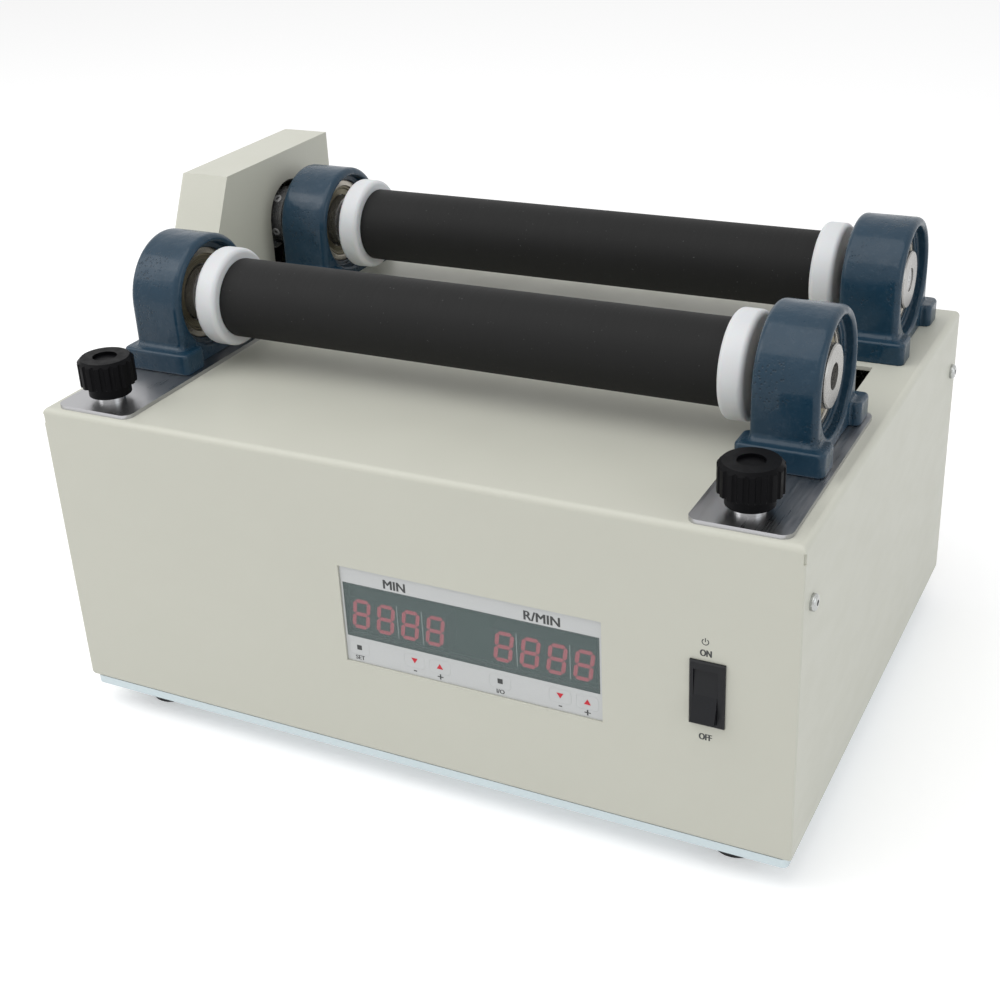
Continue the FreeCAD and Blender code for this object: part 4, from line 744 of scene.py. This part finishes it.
class DisplayOperator(bpy.types.Operator):
    """Display panel: fascia, smoked window, digits and printed words"""
    bl_idname = "mill.display"
    bl_label = "Display"

    def execute(self, context):
        s = sizes()
        dress("display_fascia", "display_window", "led_modules", "display_board", "board_spacers")
        front = (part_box("led_modules")[0].y - case_corner.y) / MM - PRINT_GAP
        digits, lines = bmesh.new(), bmesh.new()
        for first in FIRST_DIGITS:
            for k in range(4):
                digit(digits, spot(first + k * s.digit_pitch / MM, front, DIGIT_MIDDLE))
        # White lines between the digits, with a painted glow.
        for x in SEPARATORS:
            join(lines, block(spot(x - SEPARATOR_HALF_WIDTH, front - SEGMENT_THICKNESS / MM, SEPARATOR_LOW),
                              spot(x + SEPARATOR_HALF_WIDTH, front, SEPARATOR_HIGH)))
        piece("display_digits", digits, "segment_lit", "base")
        piece("digit_separators", lines, "painted_glow_separator", "base")
        ink = bmesh.new()
        front = (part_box("display_fascia")[0].y - case_corner.y) / MM - PRINT_GAP
        for text, x in PANEL_WORDS:
            join(ink, words(text, s.band_text, spot(x, front, PANEL_WORDS_LEVEL), 1.0, s.text_weight))
        for text, x in KEY_WORDS:
            height = s.key_text * (SIGN_HEIGHT if len(text) == 1 else 1.0)
            join(ink, words(text, height, spot(x, front, KEY_WORDS_LEVEL), 1.0, s.text_weight * 0.5))
        piece("panel_words", ink, "ink", "base")
        return {"FINISHED"}


KEY_MARKS = (("key_shift", "square"), ("key_timer_down", "down"), ("key_timer_up", "up"),
             ("key_run_stop", "square"), ("key_speed_down", "down"), ("key_speed_up", "up"))
KEY_MARKS_LEVEL = 58.6
SQUARE = ((-1.3, -1.3), (1.3, -1.3), (1.3, 1.3), (-1.3, 1.3))
ARROW = ((-1.7, -1.35), (1.7, -1.35), (0, 1.5))


class KeysOperator(bpy.types.Operator):
    """Keys with squares and arrows"""
    bl_idname = "mill.keys"
    bl_label = "Keys"

    def execute(self, context):
        for name, kind in KEY_MARKS:
            dress(name)
            low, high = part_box(name)
            middle = Vector(((low.x + high.x) / 2, low.y - PRINT_GAP * MM, spot(0, 0, KEY_MARKS_LEVEL).z))
            way = -1 if kind == "down" else 1
            outline = SQUARE if kind == "square" else ARROW
            bm = thin_plate([middle + Vector((x, 0, z * way)) * MM for x, z in outline], sizes().ink)
            piece(name + "_mark", bm, "ink" if kind == "square" else "arrow", name + "_cap")
        return {"FINISHED"}


# Switch and inlet

SWITCH_WORDS = (("ON", 345.7, 98.3), ("OFF", 346.1, 56.0))
SWITCH_SQUEEZE = 0.72   # width of the switch words as a share of the font's
POWER_MARK = (345.4, 103.8)


def power_mark(middle, height):
    """The plain power sign: a ring open at the top with a bar in the gap."""
    outer, inner = height * 0.5, height * 0.37
    bar = (outer - inner) / 2
    arc = [math.radians(a) for a in range(125, 416, 10)]
    ring = bmesh.new()
    rows = [[ring.verts.new(middle + Vector((r * math.cos(a), 0, r * math.sin(a)))) for a in arc]
            for r in (inner, outer)]
    for k in range(len(arc) - 1):
        ring.faces.new((rows[0][k], rows[0][k + 1], rows[1][k + 1], rows[1][k]))
    return join(ring, block(middle + Vector((-bar, -sizes().ink / 2, 0)),
                            middle + Vector((bar, 0, outer * 1.15))))


class SwitchOperator(bpy.types.Operator):
    """Power switch with its words, and the mains inlet"""
    bl_idname = "mill.switch"
    bl_label = "Switch and inlet"

    def execute(self, context):
        dress("switch_body", "rocker", "power_inlet", "inlet_pins", "inlet_screws")
        s = sizes()
        ink = bmesh.new()
        for text, x, z in SWITCH_WORDS:
            join(ink, words(text, s.switch_text, spot(x, -PRINT_GAP, z), SWITCH_SQUEEZE, s.text_weight))
        x, z = POWER_MARK
        join(ink, power_mark(spot(x, -PRINT_GAP, z), s.switch_text))
        piece("switch_words", ink, "ink", "base")
        return {"FINISHED"}


# Drive, the sizes of a hub screw in millimetres

HUB_SCREW_ANGLES = (51, -20)    # above the front
HUB_SCREW_INSET = 4.8           # from the hub's right end
HUB_SCREW_MIDDLE = 16.5         # from the shaft's axis
HUB_SCREW_RADIUS = 2.4
HUB_SCREW_LENGTH = 1.0
SOCKET_RIM = 1.2
SOCKET_DEPTH = 0.8


def hub_screw(angle):
    """Socket screw in the front of the driven pulley's hub, at an angle above the front."""
    hub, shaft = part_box("driven_pulley"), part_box("rear_shaft")
    axis = (shaft[0] + shaft[1]) / 2
    middle = Vector((hub[1].x - HUB_SCREW_INSET * MM, axis.y, axis.z))
    way = Vector((0, -math.cos(angle), math.sin(angle)))
    bm = bmesh.new()
    bmesh.ops.create_cone(bm, cap_ends=True, segments=24, radius1=HUB_SCREW_RADIUS * MM,
                          radius2=HUB_SCREW_RADIUS * MM, depth=HUB_SCREW_LENGTH * MM)
    top = max(bm.faces, key=lambda face: face.calc_center_median().z)
    bmesh.ops.inset_individual(bm, faces=[top], thickness=SOCKET_RIM * MM)
    socket = bmesh.ops.extrude_discrete_faces(bm, faces=[top])["faces"]
    bmesh.ops.translate(bm, verts=socket[0].verts[:], vec=(0, 0, -SOCKET_DEPTH * MM))
    turn = way.to_track_quat("Z", "X").to_matrix().to_4x4()
    placed = Matrix.Translation(middle + way * HUB_SCREW_MIDDLE * MM) @ turn
    bmesh.ops.transform(bm, matrix=placed, verts=bm.verts[:])
    return bm


class DriveOperator(bpy.types.Operator):
    """Belt drive with the screws of its hub, motor and electronics inside the case"""
    bl_idname = "mill.drive"
    bl_label = "Drive"

    def execute(self, context):
        dress("motor", "gearhead", "motor_bracket", "motor_screws", "power_supply", "motor_driver",
              "timing_belt", "driven_pulley", "output_shaft", "driver_pulley", "driver_grub_screw")
        screws = bmesh.new()
        for angle in HUB_SCREW_ANGLES:
            join(screws, hub_screw(math.radians(angle)))
        piece("hub_screws", screws, "grub_steel", "rear_roller")
        return {"FINISHED"}


# Stage

CAMERA_PLACE = (527.4642, -523.7679, 454.4737)
CAMERA_TARGET = (172.1950, 127.3438, 77.2)
CAMERA_ROLL = -3.342412
CAMERA_LENS = 56.158
CAMERA_SHIFT = (0.0229915, -0.0007144)
LAMP_TARGET = Vector((0.0, 0.0, 0.12))
FLOOR_SIZE = 6.0
FLOOR_GLOW = 0.34
AMBIENT = 0.61


def add_camera():
    """The camera at the photograph's angle."""
    place, target = spot(*CAMERA_PLACE), spot(*CAMERA_TARGET)
    ahead = (target - place).normalized()
    right = ahead.cross(Vector((0, 0, 1))).normalized()
    up = right.cross(ahead)
    turn = math.radians(CAMERA_ROLL)
    across = right * math.cos(turn) + up * math.sin(turn)
    top = -right * math.sin(turn) + up * math.cos(turn)
    data = bpy.data.cameras.new("camera")
    data.lens = CAMERA_LENS
    data.sensor_width = 36.0
    data.shift_x, data.shift_y = CAMERA_SHIFT
    data.clip_start, data.clip_end = 0.01, 50.0
    camera = bpy.data.objects.new("camera", data)
    bpy.context.scene.collection.objects.link(camera)
    matrix = Matrix((across, top, -ahead)).transposed().to_4x4()
    matrix.translation = place
    camera.matrix_world = matrix
    bpy.context.scene.camera = camera


def add_lamp(name, place, size, power, shade=(1.0, 1.0, 1.0)):
    """A soft rectangular lamp that faces the mill."""
    data = bpy.data.lights.new(name, "AREA")
    data.shape = "RECTANGLE"
    data.size, data.size_y = size
    data.energy = power
    data.color = shade
    lamp = bpy.data.objects.new(name, data)
    bpy.context.scene.collection.objects.link(lamp)
    lamp.location = place
    lamp.rotation_euler = (LAMP_TARGET - Vector(place)).to_track_quat("-Z", "Y").to_euler()


def seen_by_eye(nodes):
    """1 for rays from the camera and for those of gloss and glass."""
    camera, gloss, glass = [nodes.node("ShaderNodeLightPath", {}, {}, kind)
                            for kind in ("Is Camera Ray", "Is Glossy Ray", "Is Transmission Ray")]
    return camera + gloss + glass > 0.5


def add_floor():
    """Pale floor that keeps the mill's shadow and looks white around it."""
    bm = bmesh.new()
    bmesh.ops.create_grid(bm, x_segments=1, y_segments=1, size=FLOOR_SIZE)
    mesh = bpy.data.meshes.new("floor")
    bm.to_mesh(mesh)
    bm.free()
    floor = bpy.data.objects.new("floor", mesh)
    bpy.context.scene.collection.objects.link(floor)
    recipe = Recipe("mill_floor")
    matt = recipe.node("ShaderNodeBsdfDiffuse", {}, {"Color": (0.86, 0.86, 0.86, 1)})
    glow = recipe.node("ShaderNodeEmission", {},
                       {"Color": (1, 1, 1, 1), "Strength": seen_by_eye(recipe) * FLOOR_GLOW})
    recipe.end(recipe.node("ShaderNodeAddShader", {}, {0: matt, 1: glow}))
    mesh.materials.append(recipe.material)


def add_world():
    """White world whose light on the mill is dimmer than its look."""
    world = bpy.data.worlds.new("studio")
    world.use_nodes = True
    bpy.context.scene.world = world
    sky = Nodes(world.node_tree, "ShaderNodeOutputWorld")
    ambient = sky.node("ShaderNodeBackground", {}, {"Color": (1, 1, 1, 1), "Strength": AMBIENT})
    white = sky.node("ShaderNodeBackground", {}, {"Color": (1, 1, 1, 1), "Strength": 1.0})
    sky.end(sky.node("ShaderNodeMixShader", {}, {0: seen_by_eye(sky), 1: ambient, 2: white}))


class StageOperator(bpy.types.Operator):
    """Pale floor, soft studio lamps, world and camera"""
    bl_idname = "mill.stage"
    bl_label = "Stage"

    def execute(self, context):
        add_camera()
        add_lamp("overhead", (-0.25, -0.6, 1.8), (1.8, 1.6), 13.0)
        add_lamp("left", (-1.5, -0.8, 1.3), (1.2, 1.2), 8.0)
        add_lamp("right", (1.8, -0.4, 0.8), (1.1, 1.2), 4.5, (0.90, 0.96, 1.0))
        add_floor()
        add_world()
        bpy.context.scene.view_settings.view_transform = "Standard"
        return {"FINISHED"}


class MillPanel(bpy.types.Panel):
    """Jar mill tools in the sidebar"""
    bl_idname = "VIEW3D_PT_mill"
    bl_label = "Jar mill"
    bl_space_type = "VIEW_3D"
    bl_region_type = "UI"
    bl_category = "Jar mill"

    def draw(self, context):
        for group in (context.scene.mill_sizes, context.scene.mill_colours):
            column = self.layout.column()
            for key in group.__annotations__:
                column.prop(group, key)
        for operator in OPERATORS:
            self.layout.operator(operator.bl_idname)


OPERATORS = (CaseOperator, HousingsOperator, BearingsOperator, RollersOperator, SlidesOperator, KnobsOperator,
             DisplayOperator, KeysOperator, SwitchOperator, DriveOperator, StageOperator)
CLASSES = (MillSizes, MillColours, *OPERATORS, MillPanel)


def register():
    for entry in CLASSES:
        bpy.utils.register_class(entry)
    bpy.types.Scene.mill_sizes = bpy.props.PointerProperty(type=MillSizes)
    bpy.types.Scene.mill_colours = bpy.props.PointerProperty(type=MillColours)


def unregister():
    del bpy.types.Scene.mill_colours
    del bpy.types.Scene.mill_sizes
    for entry in reversed(CLASSES):
        bpy.utils.unregister_class(entry)


def main():
    """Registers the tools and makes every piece."""
    register()
    bpy.ops.mill.case()
    bpy.ops.mill.housings()
    bpy.ops.mill.bearings()
    bpy.ops.mill.rollers()
    bpy.ops.mill.slides()
    bpy.ops.mill.knobs()
    bpy.ops.mill.display()
    bpy.ops.mill.keys()
    bpy.ops.mill.switch()
    bpy.ops.mill.drive()
    bpy.ops.mill.stage()


if __name__ == "__main__":
    main()
